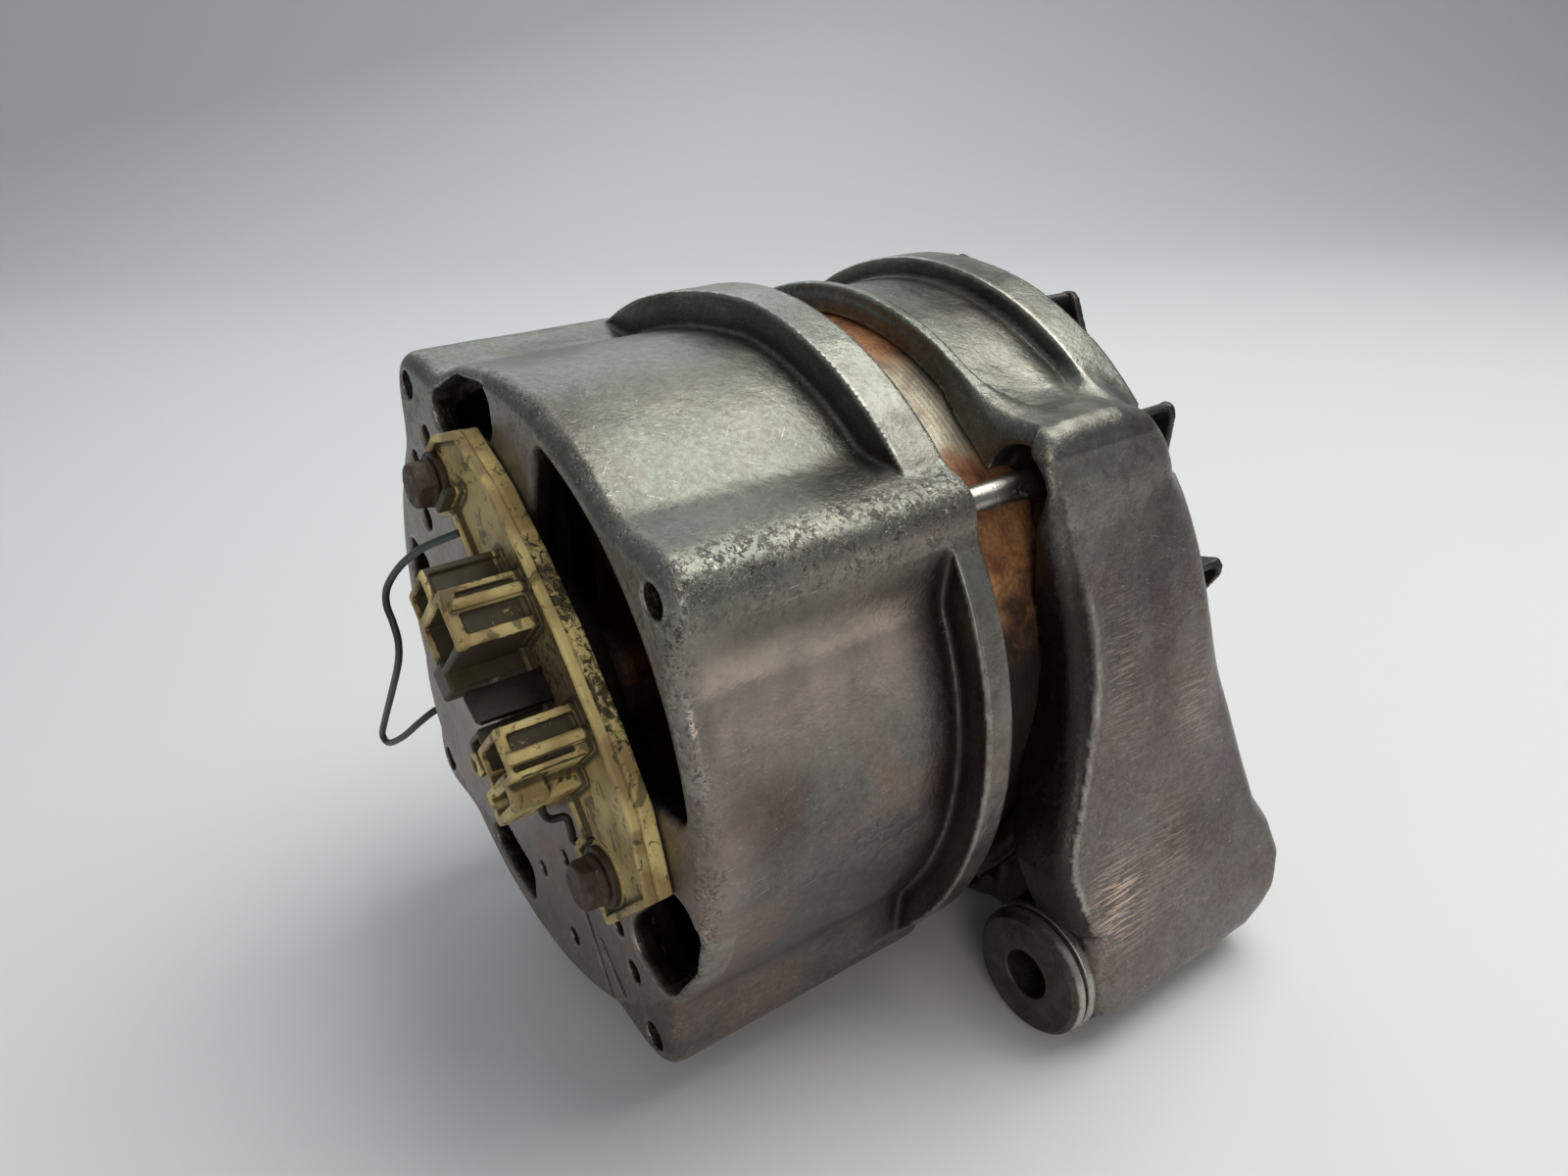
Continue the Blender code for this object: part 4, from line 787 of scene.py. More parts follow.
def rear_layers(p, normal):
    x, y, z, rr, deg = castings_polar(p, normal)
    lobe = np.zeros(len(p))
    for a in LOBES:
        lobe = np.maximum(lobe, 1 - np.abs((deg - a + 180) % 360 - 180) / 7.0)
    crest = np.clip(lobe * 2.0, 0, 1) * (rr > 66)
    edge = np.clip(1 - np.abs(x - 1.2) / 3.2, 0, 1) * (rr > 54)
    pitted = np.clip(np.maximum(crest * 0.9, edge), 0, 1)
    # rubbed metal and painted highlight: the rib's crest, and the rear edge only where it faces up
    rub_and_highlight = 0.28 * np.clip(1 - np.abs(rr - RIB_R) / 0.5, 0, 1) * (x > 40)
    rub_and_highlight = np.maximum(rub_and_highlight, 0.35 * edge * (z > 10))
    inside = (x > 5.0) & (rr < 59.0)
    shade = np.where(inside, 1.0, 0.0)
    shade = np.maximum(shade, np.clip((x - 0.4) / 1.6, 0, 1) * (rr < 58.5) * (x < 12))
    shade = np.maximum(shade, np.clip(x / 1.0, 0, 1) * (rr < 58.5) * (x < 12) * (np.abs(deg - 143) < 38))
    wall = np.clip((x - 43.0) / 7.0, 0, 1) * (x < 52.4) * (rr < 69.0) * (deg > 147) * (deg < 232)
    shade = np.maximum(shade, 0.62 * wall)
    # painted shade on the rear face beside the wide opening and under the block
    shade = np.maximum(shade, 0.55 * np.clip(1 - np.abs(deg - 143) / 60.0, 0, 1) * (rr < 44) * (x < 1.5) * (rr > 30))
    # painted light: a pinkish reflection on the barrel side near 160 degrees and by the rear edge, a lighter rear face
    # inside the rim, and a copper streak under lobe B near 147 degrees
    painted_light = np.exp(-((deg - 160.0) / 9.5) ** 2) * np.clip((x - 1.0) / 5.0, 0, 1) * np.clip((49.0 - x) / 8.0, 0, 1) * (rr > 60)
    painted_light = np.maximum(painted_light, 0.45 * np.exp(-((x - 4.0) / 5.0) ** 2) * np.clip((deg - 150.0) / 8.0, 0, 1) * np.clip((215.0 - deg) / 30.0, 0, 1) * (rr > 60))
    painted_light = np.maximum(painted_light, 0.22 * (x < 2.0) * (rr < 60.0))
    along = np.clip((x - 2.0) / 8.0, 0, 1) * np.clip((52.0 - x) / 8.0, 0, 1) * (rr > 60)
    shade = np.maximum(shade, 0.46 * np.exp(-((deg - 151.0) / 2.3) ** 2) * along)
    painted_light = np.maximum(painted_light, 0.40 * np.exp(-((deg - 147.2) / 1.8) ** 2) * np.clip((x - 12.0) / 20.0, 0, 1) * (rr > 60))
    pitted = np.maximum(pitted, 0.06 * (rr > 60) * np.clip((150.0 - deg) / 20.0, 0, 1))
    return {"rub_and_highlight": rub_and_highlight, "pitted": pitted, "shade": shade, "painted_light": painted_light}


def drive_layers(p, normal):
    x, y, z, rr, deg = castings_polar(p, normal)
    face = -61.5 - (45.0 - z) * 0.2105
    on_arm = (np.abs(y - face) < 4.5) & (z < 46)
    d = poly(x, z, ARM, 4.0)
    # painted highlight, with some rubbed metal: a bright line along the arm's rear crease and rim, a faint one on the
    # front rim
    crease = on_arm * np.clip(1.2 - np.abs(d + 2.7) / 0.8, 0, 1)
    rim = on_arm * np.clip(1 - np.abs(d + 1.6) / 1.7, 0, 1)
    rear = (x < 86) * np.maximum(crease * np.clip((34.0 - z) / 20.0, 0.1, 1.0), 0.75 * np.clip(1 - np.abs(d + 1.7) / 1.1, 0, 1) * np.clip((6.0 - z) / 10.0, 0, 1)) * (z > -36)
    front = rim * (x > 96) * 0.15
    rub_and_highlight = np.maximum(rear * 0.95, front)
    # painted highlight on top of the drive-end barrel near 130 degrees
    top = np.clip(1 - np.abs(deg - 130.0) / 11.0, 0, 1) * np.clip(1 - np.abs(x - 90.0) / 6.5, 0, 1) * (rr < 68)
    rub_and_highlight = np.maximum(rub_and_highlight, 0.85 * top)
    # painted highlight along the crest of the front rim
    thin = np.clip(1 - np.abs(rr - RIB_R) / 0.6, 0, 1) * (x > 96) * (x < 99.5) * 0.5
    rub_and_highlight = np.maximum(rub_and_highlight, thin)
    # painted highlight on the upper part of the arm's outer face
    rub_and_highlight = np.maximum(rub_and_highlight, 0.30 * on_arm * (normal[:, 1] < -0.6) * np.clip((z - 22.0) / 14.0, 0, 1))
    shade = np.where((rr < 60.0) & (x < 104), 1.0, 0.0)
    shade = np.maximum(shade, np.clip((14.0 + face - 15.0 + 0 * z - y) * 0, 0, 1))
    behind = (y > face + 4.0) & (rr > 62.5) & (z < 36) & (y < -30)
    shade = np.maximum(shade, 0.85 * behind)
    shade = np.maximum(shade, 0.55 * on_arm * (x < 84) * np.clip((d + 2.2) / 1.2, 0, 1) * np.clip((z + 8.0) / 12.0, 0, 1))
    flank = (normal[:, 0] < -0.30) & (y < -44.0) & (z < 40.0) & (x < 84.0) & (z > -42.0)
    shade = np.maximum(shade, flank * (0.60 + 0.38 * np.clip((32.0 - z) / 14.0, 0, 1)))
    c = polar(BOLT_CIRCLE, 143.5)
    pocket = np.clip((8.0 - np.hypot(y - c[0], z - c[1])) / 2.0, 0, 1) * (x < 80.5) * (x > 74.9)
    shade = np.maximum(shade, 0.9 * pocket)
    a1 = np.exp(-(((x - 78.5) / 7.0) ** 2 + ((z + 37.0) / 8.0) ** 2))
    a2 = np.exp(-(((x - 92.0) / 9.0) ** 2 + ((z + 33.0) / 12.0) ** 2)) * 0.30
    a3 = np.exp(-(((x - 85.0) / 5.0) ** 2 + ((z - 5.0) / 16.0) ** 2)) * 0.30
    a4 = np.exp(-(((x - 104.0) / 5.0) ** 2 + ((z + 6.0) / 11.0) ** 2)) * 0.35
    scored = on_arm * np.maximum(np.maximum(a1, a2), np.maximum(a3, a4))
    pitted = (0.12 + 0.20 * (z > 20)) * on_arm + 0.35 * ((x < 77.5) & (rr > 64))
    return {"rub_and_highlight": np.clip(rub_and_highlight, 0, 1), "pitted": np.clip(pitted, 0, 1), "shade": shade, "scored": scored}


REAR_H = 0.72
DRIVE_H = 0.8
shape("rear_housing_cast", rear_housing, (-11.8, -73, -70), (58, 73, 73), REAR_H, "housing", ["rear_housing"], REAR_MAT,
      relief=((9.0, 0.07), (3.0, 0.035)), extra=rear_layers)

# ---------------------------------------------------------------- drive end housing with the arm
ARM = [(71.4, 44.5), (72.6, 50.0), (80.0, 51.0), (92.0, 51.0), (100.0, 48.5), (102.4, 43.0), (106.3, 25.0), (112.4, 3.2), (119.0, -20.8), (122.6, -33.0), (127.0, -39.6),
       (129.8, -47.5), (127.0, -56.0), (118.0, -61.0), (73.0, -61.0), (73.0, -43.6), (69.2, -41.4), (67.2, -36.0), (65.4, -29.0), (65.2, -24.0), (67.4, -19.0), (71.2, -9.0), (74.2, 0.0), (75.6, 8.0), (75.8, 15.0), (74.3, 27.0), (72.0, 38.0)]


def drive_housing(x, y, z):
    rr = np.hypot(y, z)
    deg = np.degrees(np.arctan2(z, y)) % 360.0
    ring = rmax(rmax(outline(y, z, 65.0), 74.4 - x, 0.9), x - 104.0, 1.5)
    rim = rmax(rmax(rr - RIB_R, 98.2 - x, 0.6), x - 108.0, 1.0)
    body = rmin(ring, rim, 1.2)
    lip = rmax(rmax(rr - 67.2, 74.6 - x, 0.7), x - 77.4, 0.7)
    body = rmin(body, lip, 0.8)
    # the mounting arm
    face = -61.5 - (45.0 - z) * 0.2105
    out = (face - y) / 1.0219
    back = (y - face - 13.0 - 11.0 * np.clip((z - 33.0) / 10.0, 0, 1)) / 1.25
    arm = rmax(poly(x, z, ARM, 4.0), out, 3.2)
    arm = rmax(arm, back, 1.0)
    arm = rmax(arm, 74.6 - 11.0 * np.clip((-56.0 - y) / 4.0, 0, 1) - 14.0 * np.clip((36.0 - z) / 5.0, 0, 1) - x, 1.5)
    body = rmin(body, arm, 6.5)
    pivot = rmax(rmax(cyl(y, z, PIVOT_Y, PIVOT_Z, 13.2), 73.0 - x, 0.8), x - 124.0, 2.0)
    web = np.maximum(poly(y, z, [(-36.0, -50.0), (-43.0, -46.0), (-66.0, -38.0), (-76.0, -50.0), (-58.0, -67.0)], 1.0), slab(x, 80.5, 106.0))
    body = rmin(body, rmin(pivot, web, 2.0), 3.0)
    # inside
    room = np.minimum(rr - 61.3, 1e9)
    room = np.maximum(room, x - 80.5)
    room = np.minimum(room, np.maximum(rr - 57.8, x - 99.0))
    hub = rmax(rr - 31.0, 90.2 - x, 0.8)
    room = np.maximum(room, -hub)
    room = np.maximum(room, 60.0 - x)
    body = cut(body, room, 0.4)
    body = rmin(body, rmax(rmax(hub, x - 108.0, 1.0), 90.2 - x, 0.5), 0.6)
    body = cut(body, rmax(rmax(rr - 23.8, x - 106.0, 0.3), 88.0 - x, 0), 0.5)
    body = cut(body, rmax(rr - 14.0, 88.0 - x, 0), 0.5)
    body = cut(body, np.maximum(rr - 68.6, 108.3 - x), 0.5)
    recess = rmax(rmax(rr - 62.0, 33.0 - rr, 0.5), 104.0 - x, 1.0)
    body = cut(body, recess, 0.8)
    part = (deg - 8.5) % 60.0 - 30.0
    yy, zz = rr * np.cos(np.radians(part)), rr * np.sin(np.radians(part))
    window = rmax(sector(yy, zz, 39.0, 55.5, -24.5, 24.5, 3.0), slab(x, 96.0, 108.0), 0)
    body = cut(body, window, 1.0)
    for lobe in LOBES:
        cy, cz = polar(BOLT_CIRCLE, lobe)
        body = cut(body, cyl(y, z, cy, cz, 2.8), 0.4)
        cy, cz = polar(BOLT_CIRCLE + 1.0, lobe)
        body = cut(body, rmax(cyl(y, z, cy, cz, 6.9), x - 78.8, 2.2), 1.4)
        if lobe == LOBES[1]:
            # the pocket runs on down between the arm and the stator
            t = np.clip((39.0 - z) / 24.0, 0, 1)
            slot = np.hypot(y + 53.0 - 1.5 * t, z - np.clip(z, 15.0, 39.0)) - 6.2
            body = cut(body, rmax(slot, x - (78.2 - 2.4 * t), 1.5), 1.3)
        cy, cz = polar(BOLT_CIRCLE + 2.0, lobe)
        body = cut(body, rmax(cyl(y, z, cy, cz, 6.8), 103.0 - x, 0.8), 0.8)
    for a in (30.0, 150.0, 270.0):
        cy, cz = polar(27.4, a)
        body = cut(body, rmax(cyl(y, z, cy, cz, 2.1), x - 98.0, 0), 0.3)
    body = rmax(body, -82.3 - y, 1.0)
    body = cut(body, rmax(cyl(y, z, PIVOT_Y, PIVOT_Z, 10.3), x - 98.0, 0.3), 0.4)
    body = cut(body, cyl(y, z, PIVOT_Y, PIVOT_Z, 5.3), 0.8)
    return body


shape("drive_housing_cast", drive_housing, (63.5, -83, -70), (129, 73, 73), DRIVE_H, "housing", ["drive_end_housing"], DRIVE_MAT,
      relief=((10.0, 0.08), (3.0, 0.03)), extra=drive_layers)


# ---------------------------------------------------------------- stator
def stator(x, y, z):
    rr = np.hypot(y, z)
    ring = rmax(rmax(rr - 61.0, 46.0 - rr, 0.4), slab(x, 52.3, 80.2), 0.4)
    part = np.radians((np.degrees(np.arctan2(z, y)) + 7.5) % 15.0 - 7.5)
    yy, zz = rr * np.cos(part), rr * np.sin(part)
    slot = poly(yy, zz, [(44.0, 1.1), (47.6, 1.1), (48.2, 1.9), (56.0, 2.3), (56.0, -2.3), (48.2, -1.9), (47.6, -1.1), (44.0, -1.1)])
    return cut(ring, slot, 0.2)


shape("stator_sheets", stator, (52.3, -61, -61), (80.2, 61, 61), 0.9, "housing", ["stator_core"], LAMINATION_MAT, relief=((2.0, 0.03),))


# ---------------------------------------------------------------- fasteners
def hex_flat(y, z, across, turn=0.0):
    c, s = math.cos(math.radians(turn)), math.sin(math.radians(turn))
    a, b = y * c + z * s, -y * s + z * c
    return np.maximum(np.maximum(np.abs(a), np.abs(a * 0.5 + b * 0.8660254)), np.abs(a * 0.5 - b * 0.8660254)) - across / 2


for i, lobe in enumerate(LOBES):
    cy, cz = polar(BOLT_CIRCLE, lobe)

    def bolt(x, y, z, cy=cy, cz=cz, lobe=lobe):
        r = np.hypot(y - cy, z - cz)
        rod = rmax(rmax(r - 2.5, 9.0 - x, 0.6), x - 104.0, 0.1)
        head = rmax(hex_flat(y - cy, z - cz, 8.0, lobe + 20), slab(x, 103.4, 107.0), 0.3)
        head = rmax(head, r + (x - 107.0) * 1.0 - 4.3, 0.1)
        return rmin(rod, head, 0.3)

    shape(f"long_bolt_{i + 1}", bolt, (9, cy - 5, cz - 5), (107, cy + 5, cz + 5), 0.5, "housing", [f"through_bolt_{i + 1}"], BOLT_MAT)

for i, (u, v) in enumerate(SCREW_UV):
    cy, cz = (u * EU[0] + v * EV[0], u * EU[1] + v * EV[1])

    def screw(x, y, z, cy=cy, cz=cz, i=i):
        r = np.hypot(y - cy, z - cz)
        rod = rmax(rmax(r - 2.0, x - 11.6, 0.6), -6.4 - x, 0.1)
        head = rmax(hex_flat(y - cy, z - cz, 8.0, 20 + 11 * i), slab(x, -9.6, -6.1), 0.35)
        head = rmax(head, r - (x + 9.6) * 0.9 - 3.9, 0.3)
        collar = rmax(r - 4.6, slab(x, -6.6, -5.5), 0.3)
        return rmin(rmin(rod, head, 0.2), collar, 0.2)

    shape(f"block_screw_{i + 1}", screw, (-9.6, cy - 5, cz - 5), (11.6, cy + 5, cz + 5), 0.32, "housing", [f"terminal_screw_{i + 1}"], RUSTY_MAT, relief=((1.2, 0.06),))
    lathe(f"block_washer_{i + 1}", [(-5.35, 2.3), (-5.35, 5.6), (-4.15, 5.6), (-4.15, 2.3)], "housing", [f"terminal_washer_{i + 1}"], RUSTY_MAT, at=(cy, cz), steps=64, r=0.3)

# ---------------------------------------------------------------- terminal block
PLATE = [(-47.0, 11.0), (-47.0, 22.0), (-41.5, 33.0), (-28.0, 37.6), (-14.0, 39.8), (0.0, 40.6), (16.0, 40.0), (31.0, 37.8), (44.5, 31.0), (44.5, 8.0), (28.5, 8.0),
         (28.0, 13.6), (22.0, 14.0), (21.8, 8.0), (19.0, 8.5), (16.5, 13.0), (13.0, 17.5), (6.0, 20.6), (-13.0, 20.8), (-17.0, 15.5), (-33.0, 15.5), (-35.5, 9.5)]


def terminal_block(x, y, z):
    u, v = y * EU[0] + z * EU[1], y * EV[0] + z * EV[1]
    flat = poly(u, v, PLATE)
    base = rmax(flat + 0.35, slab(x, -2.9, -0.3), 0.45)
    groove = rmax(flat + 0.75, slab(x, -3.4, -2.4), 0.1)
    deck = rmax(flat + 0.5, slab(x, -3.7, -2.2), 0.2)
    lip = rmax(rmax(flat + 0.3, -(flat + 1.9), 0.3), slab(x, -5.1, -3.1), 0.55)
    body = np.minimum(np.minimum(base, groove), np.minimum(deck, lip))
    # upper connector: a deep hollow box with a recessed outer wall and a key rib, and a lower channel beside it
    case = box(x, u, v, -18.1, -2.5, -14.7, -4.2, 17.4, 33.2, 0.7)
    case = cut(case, box(x, u, v, -19.5, -4.6, -13.3, -5.6, 18.8, 31.5, 0.5), 0.35)
    case = cut(case, box(x, u, v, -15.9, -4.6, -10.0, -6.3, 32.2, 34.5, 0.5), 0.35)
    case = cut(case, box(x, u, v, -15.4, -5.4, -13.4, -12.4, 32.5, 34.5, 0.4), 0.3)
    case = rmin(case, box(x, u, v, -17.2, -3.0, -12.2, -10.4, 31.6, 34.7, 0.85), 0.3)
    shell = box(x, u, v, -18.0, -2.5, -20.6, -14.0, 16.8, 28.6, 0.9)
    shell = cut(shell, box(x, u, v, -19.4, -4.2, -19.3, -15.3, 18.2, 27.3, 0.5), 0.35)
    shell = cut(shell, box(x, u, v, -16.7, -4.0, -19.2, -15.4, 27.9, 30.0, 0.4), 0.3)
    under = box(x, u, v, -18.1, -2.5, -7.0, -1.2, 13.6, 20.4, 0.6)
    body = rmin(body, np.minimum(np.minimum(case, shell), under), 0.35)
    # lower connector
    low = box(x, u, v, -18.1, -2.5, 9.5, 18.2, 20.8, 33.2, 0.7)
    low = cut(low, box(x, u, v, -19.5, -4.6, 10.8, 16.9, 22.2, 31.5, 0.5), 0.35)
    low = cut(low, box(x, u, v, -16.4, -4.8, 11.1, 13.9, 32.2, 34.5, 0.4), 0.35)
    low = cut(low, box(x, u, v, -17.2, -7.0, 16.3, 17.2, 32.3, 34.5, 0.25), 0.2)
    low = rmin(low, box(x, u, v, -18.1, -3.4, 14.3, 16.1, 31.6, 34.7, 0.85), 0.3)
    side = box(x, u, v, -17.0, -2.5, 6.4, 11.4, 14.0, 21.8, 0.8)
    side = cut(side, box(x, u, v, -18.5, -8.0, 7.6, 10.2, 15.4, 20.4, 0.5), 0.3)
    knob = rmax(np.hypot(u - 11.2, v - 16.6) - 2.2, slab(x, -18.1, -5.0), 0.5)
    knob = cut(knob, rmax(np.hypot(u - 11.2, v - 16.6) - 1.1, x + 15.0, 0.2), 0.2)
    foot = box(x, u, v, -17.8, -11.6, 15.8, 22.2, 15.0, 28.4, 0.7)
    foot = rmin(foot, box(x, u, v, -13.0, -2.5, 16.4, 21.6, 9.4, 24.0, 0.7), 0.5)
    foot = cut(foot, box(x, u, v, -19.5, -10.0, 17.2, 20.6, 17.0, 26.4, 0.5), 0.3)
    body = rmin(body, np.minimum(np.minimum(low, side), np.minimum(knob, foot)), 0.35)
    # the seats of the two screws
    body = rmin(body, box(x, u, v, -7.6, -3.0, -35.4, -33.8, 16.6, 24.0, 0.5), 0.3)
    for su, sv in SCREW_UV:
        r = np.hypot(u - su, v - sv)
        body = np.minimum(body, rmax(r - 6.3, slab(x, -3.95, -2.0), 0.25))
        body = cut(body, r - 2.4, 0.3)
    for tu, tv, w in BLADE_SLOTS:
        body = cut(body, box(x, u, v, -8.0, -1.3, tu - w / 2, tu + w / 2, tv - 0.7, tv + 0.7, 0.05), 0.15)
    return np.maximum(body, x + 0.3)


def block_darkening(p, normal):
    """Where the block is darker: inside and under the connectors, in their panels and between them."""
    x, y, z = p[:, 0], p[:, 1], p[:, 2]
    u, v = y * EU[0] + z * EU[1], y * EV[0] + z * EV[1]
    darkening = np.zeros(len(p))
    out = x < -4.9
    sides = out & (v < 31.6) & (u < 19.0)
    darkening = np.where(sides, 1.0, darkening)
    darkening = np.where(out & (v >= 31.6), 0.27, darkening)
    panel = out & (v > 31.6) & (v < 32.9) & (x > -16.6)
    darkening = np.where(panel, 0.74, darkening)
    darkening = np.where(out & (u > 14.2) & (u < 23.0) & (v < 31.6), 0.30, darkening)
    darkening = np.where(out & (u > -8.5) & (u < -0.9) & (v < 21.0), 1.0, darkening)
    darkening = np.where((x < -17.2) & (v > 13.0) & ((u < -7.0) | (u > 8.0)), 0.30, darkening)
    deck = (x > -5.2) & (x < -3.2) & (v < 36.4)
    darkening = np.where(deck, np.clip(0.50 - np.abs(u - 1.0) / 60.0, 0.25, 1.0), darkening)
    inner = np.clip(1 - np.abs(v - 35.6) / 1.8, 0, 1)
    # the deck darker near the middle and near the connectors: partly stain, partly painted shade
    stain_and_shade = np.where(deck, np.clip(1.15 - np.abs(u - 2.0) / 34.0, 0.42, 1.0) * np.clip((38.6 - v) / 3.0, 0, 1) + 0.25 * inner, 0.0)
    stain_and_shade = np.where(x < -4.9, 0.12 + 0.30 * np.clip((u - 16.0) / 6.0, 0, 1) * (v < 29.0), stain_and_shade)
    stain_and_shade = np.where((x > -5.2) & (x < -2.0) & (v < 33.0) & (np.abs(u + 1.0) < 17.0), 0.9, stain_and_shade)
    band = (x > -3.4) & (v > 30)
    darkening = np.where(band, np.clip(0.62 - np.abs(np.abs(u - 2.0) - 9.0) / 45.0, 0.34, 0.62), darkening)
    return {"darkening": darkening, "stain_and_shade": np.clip(stain_and_shade, 0, 1)}


BLADE_SLOTS = ((3.4, 23.4, 6.6), (-2.2, 25.0, 0.1), (-9.8, 25.5, 4.6), (13.8, 27.0, 4.6))
shape("terminal_block_moulding", terminal_block, (-18.2, -55, -31), (-0.3, 28, 56), 0.36, "housing", ["terminal_block"], CREAM_MAT,
      relief=((3.0, 0.05), (1.0, 0.02)), extra=block_darkening, probe=(0.8, 2.0))

BLADES_UV = ((3.4, 23.4, 6.4, -17.4), (-9.8, 25.5, 4.4, -15.8), (13.8, 27.0, 4.4, -15.8))
for i, (u0, v0, w, x_end) in enumerate(BLADES_UV):
    def blade(x, y, z, u0=u0, v0=v0, w=w, x_end=x_end):
        u, v = y * EU[0] + z * EU[1] - u0, y * EV[0] + z * EV[1] - v0
        turn = 0.30 if w > 6 else 0.0
        u, v = u * math.cos(turn) + v * math.sin(turn), v * math.cos(turn) - u * math.sin(turn)
        taper = np.maximum(np.abs(u) - w / 2, (np.abs(u) * 0.8 - (x - x_end) - w * 0.30) / 1.28)
        return rmax(rmax(taper, slab(x, x_end, -1.6), 0.15), np.abs(v) - (0.55 if w > 6 else 0.4), 0.2)

    cy, cz = (u0 * EU[0] + v0 * EV[0], u0 * EU[1] + v0 * EV[1])
    shape(f"flat_terminal_{i + 1}", blade, (x_end, cy - 5, cz - 5), (-1.6, cy + 5, cz + 5), 0.22, "housing", [f"blade_terminal_{i + 1}"], BLADE_MAT)

# ---------------------------------------------------------------- pivot bush
lathe("bush_turned",
      [(67.0, 5.0, 0.5), (67.0, 11.7, 0.3), (67.9, 12.7, 0.3), (69.5, 13.15, 0.35), (69.8, 12.4, 0.1), (70.35, 12.4, 0.1), (70.6, 13.2, 0.35), (72.5, 13.2, 0.4),
       (72.5, 10.0, 0.1), (92.0, 10.0, 0.5), (92.0, 5.0, 0.5)], "bush", ["pivot_bush"], BUSH_MAT, at=(PIVOT_Y, PIVOT_Z), steps=128)


# ---------------------------------------------------------------- fan
def fan(x, y, z):
    rr = np.hypot(y, z)
    disc = rmax(rmax(rr - 52.0, 8.8 - rr, 0.2), slab(x, 116.7, 118.7), 0.3)
    step = 360.0 / 13
    part = np.radians((np.degrees(np.arctan2(z, y)) - 110.7 + 8.0) % step - 8.0)
    yy, zz = rr * np.cos(part), rr * np.sin(part)
    petal = poly(yy, zz, [(46.0, -0.9), (66.8, -0.9), (67.8, 0.4), (67.0, 2.4), (60.0, 8.6), (46.0, 9.6)], 0.4)
    petal = rmax(petal, slab(x, 116.7, 118.4), 0.4)
    wing = rmax(slab(zz, -1.0, 0.7), slab(x, 109.4, 118.2), 0.5)
    wing = rmax(wing, slab(yy, 45.0, 67.0), 0.5)
    wing = np.maximum(wing, (yy - (x - 109.4) * -0.6 - 66.0) * 0.0 - 99)
    return rmin(rmin(disc, petal, 1.5), wing, 0.8)


shape("fan_pressed", fan, (109.4, -68, -68), (118.7, 68, 68), 0.62, "rotor", ["fan"], FAN_MAT, relief=((6.0, 0.06),))

# ---------------------------------------------------------------- pulley end
PULLEY_MAT = steel("pulley_steel", (0.36, 0.35, 0.33), 0.36, rust=0.16, turned=0.03)
lathe("pulley_turned",
      [(119.0, 8.8), (119.0, 14.0), (120.6, 15.5), (121.0, 33.8, 0.4), (122.4, 34.0, 0.4), (127.6, 24.6, 0.8), (130.4, 24.6, 0.8), (135.6, 34.0, 0.4), (136.9, 34.0, 0.4),
       (137.4, 20.0, 1.5), (133.0, 18.5, 1.0), (133.0, 15.0, 0.8), (137.8, 14.2), (137.8, 8.8)], "rotor", ["pulley"], PULLEY_MAT, steps=128)
lathe("spring_washer", [(138.1, 8.1), (138.1, 13.2), (140.05, 13.2), (140.05, 8.1)], "rotor", ["pulley_washer"], RUSTY_MAT, steps=72, r=0.3)


def nut(x, y, z):
    r = np.hypot(y, z)
    body = rmax(hex_flat(y, z, 22.8), slab(x, 140.4, 152.3), 0.4)
    body = rmax(body, r + (x - 152.3) * 1.3 - 12.0, 0.3)
    return cut(body, r - 8.0 - np.maximum(0, np.abs(x - 146.35) - 5.0), 0.2)


shape("shaft_nut", nut, (140.4, -13.5, -13.5), (152.4, 13.5, 13.5), 0.5, "rotor", ["pulley_nut"], STEEL_MAT, relief=((1.5, 0.03),))


def shaft(x, y, z):
    r = np.hypot(y, z)
    steps = [(-8.6, 3.4, 5.85), (3.2, 27.2, 7.0), (27.0, 137.9, 8.5)]
    body = 1e9
    for a, b, rad in steps:
        body = np.minimum(body, rmax(r - rad, slab(x, a, b), 0.5))
    ridge = 7.45 + 0.22 * np.sin(x * 2 * math.pi / 1.5 + np.arctan2(z, y))
    body = np.minimum(body, rmax(rmax(r - ridge, slab(x, 137.0, 156.4), 0.1), r + (x - 156.4) - 6.4, 0.2))
    key = box(x, y, z, 124.0, 134.0, -2.15, 2.15, 6.5, 12.0, 0.1)
    centre = r - np.maximum(0.0, (x - 151.0) * 0.5) + 0.0
    body = cut(body, key, 0.15)
    return cut(body, np.maximum(centre - 0.01, 153.4 - x), 0.2)


shape("shaft_turned", shaft, (-8.6, -8.6, -8.6), (156.4, 8.6, 8.6), 0.42, "rotor", ["rotor_shaft"], STEEL_MAT)

# ---------------------------------------------------------------- thin lead and spring clip
LEAD_ROUTE = [
    (-4.9, 7.6, 32.9), (-5.6, 9.4, 32.0), (-7.0, 13.2, 30.2), (-9.0, 19.6, 26.8), (-11.0, 26.8, 21.7), (-12.5, 32.4, 16.0),
    (-13.0, 33.8, 11.8), (-13.0, 31.6, 8.6), (-13.0, 30.4, 4.6), (-13.0, 33.6, -1.6), (-13.0, 43.0, -12.6), (-13.0, 52.6, -23.4),
    (-13.0, 57.6, -29.8), (-12.4, 55.6, -31.2), (-11.0, 48.2, -26.6), (-9.0, 41.4, -20.8), (-6.5, 37.8, -17.2), (-3.4, 36.2, -15.6), (-0.5, 36.0, -15.4),
]


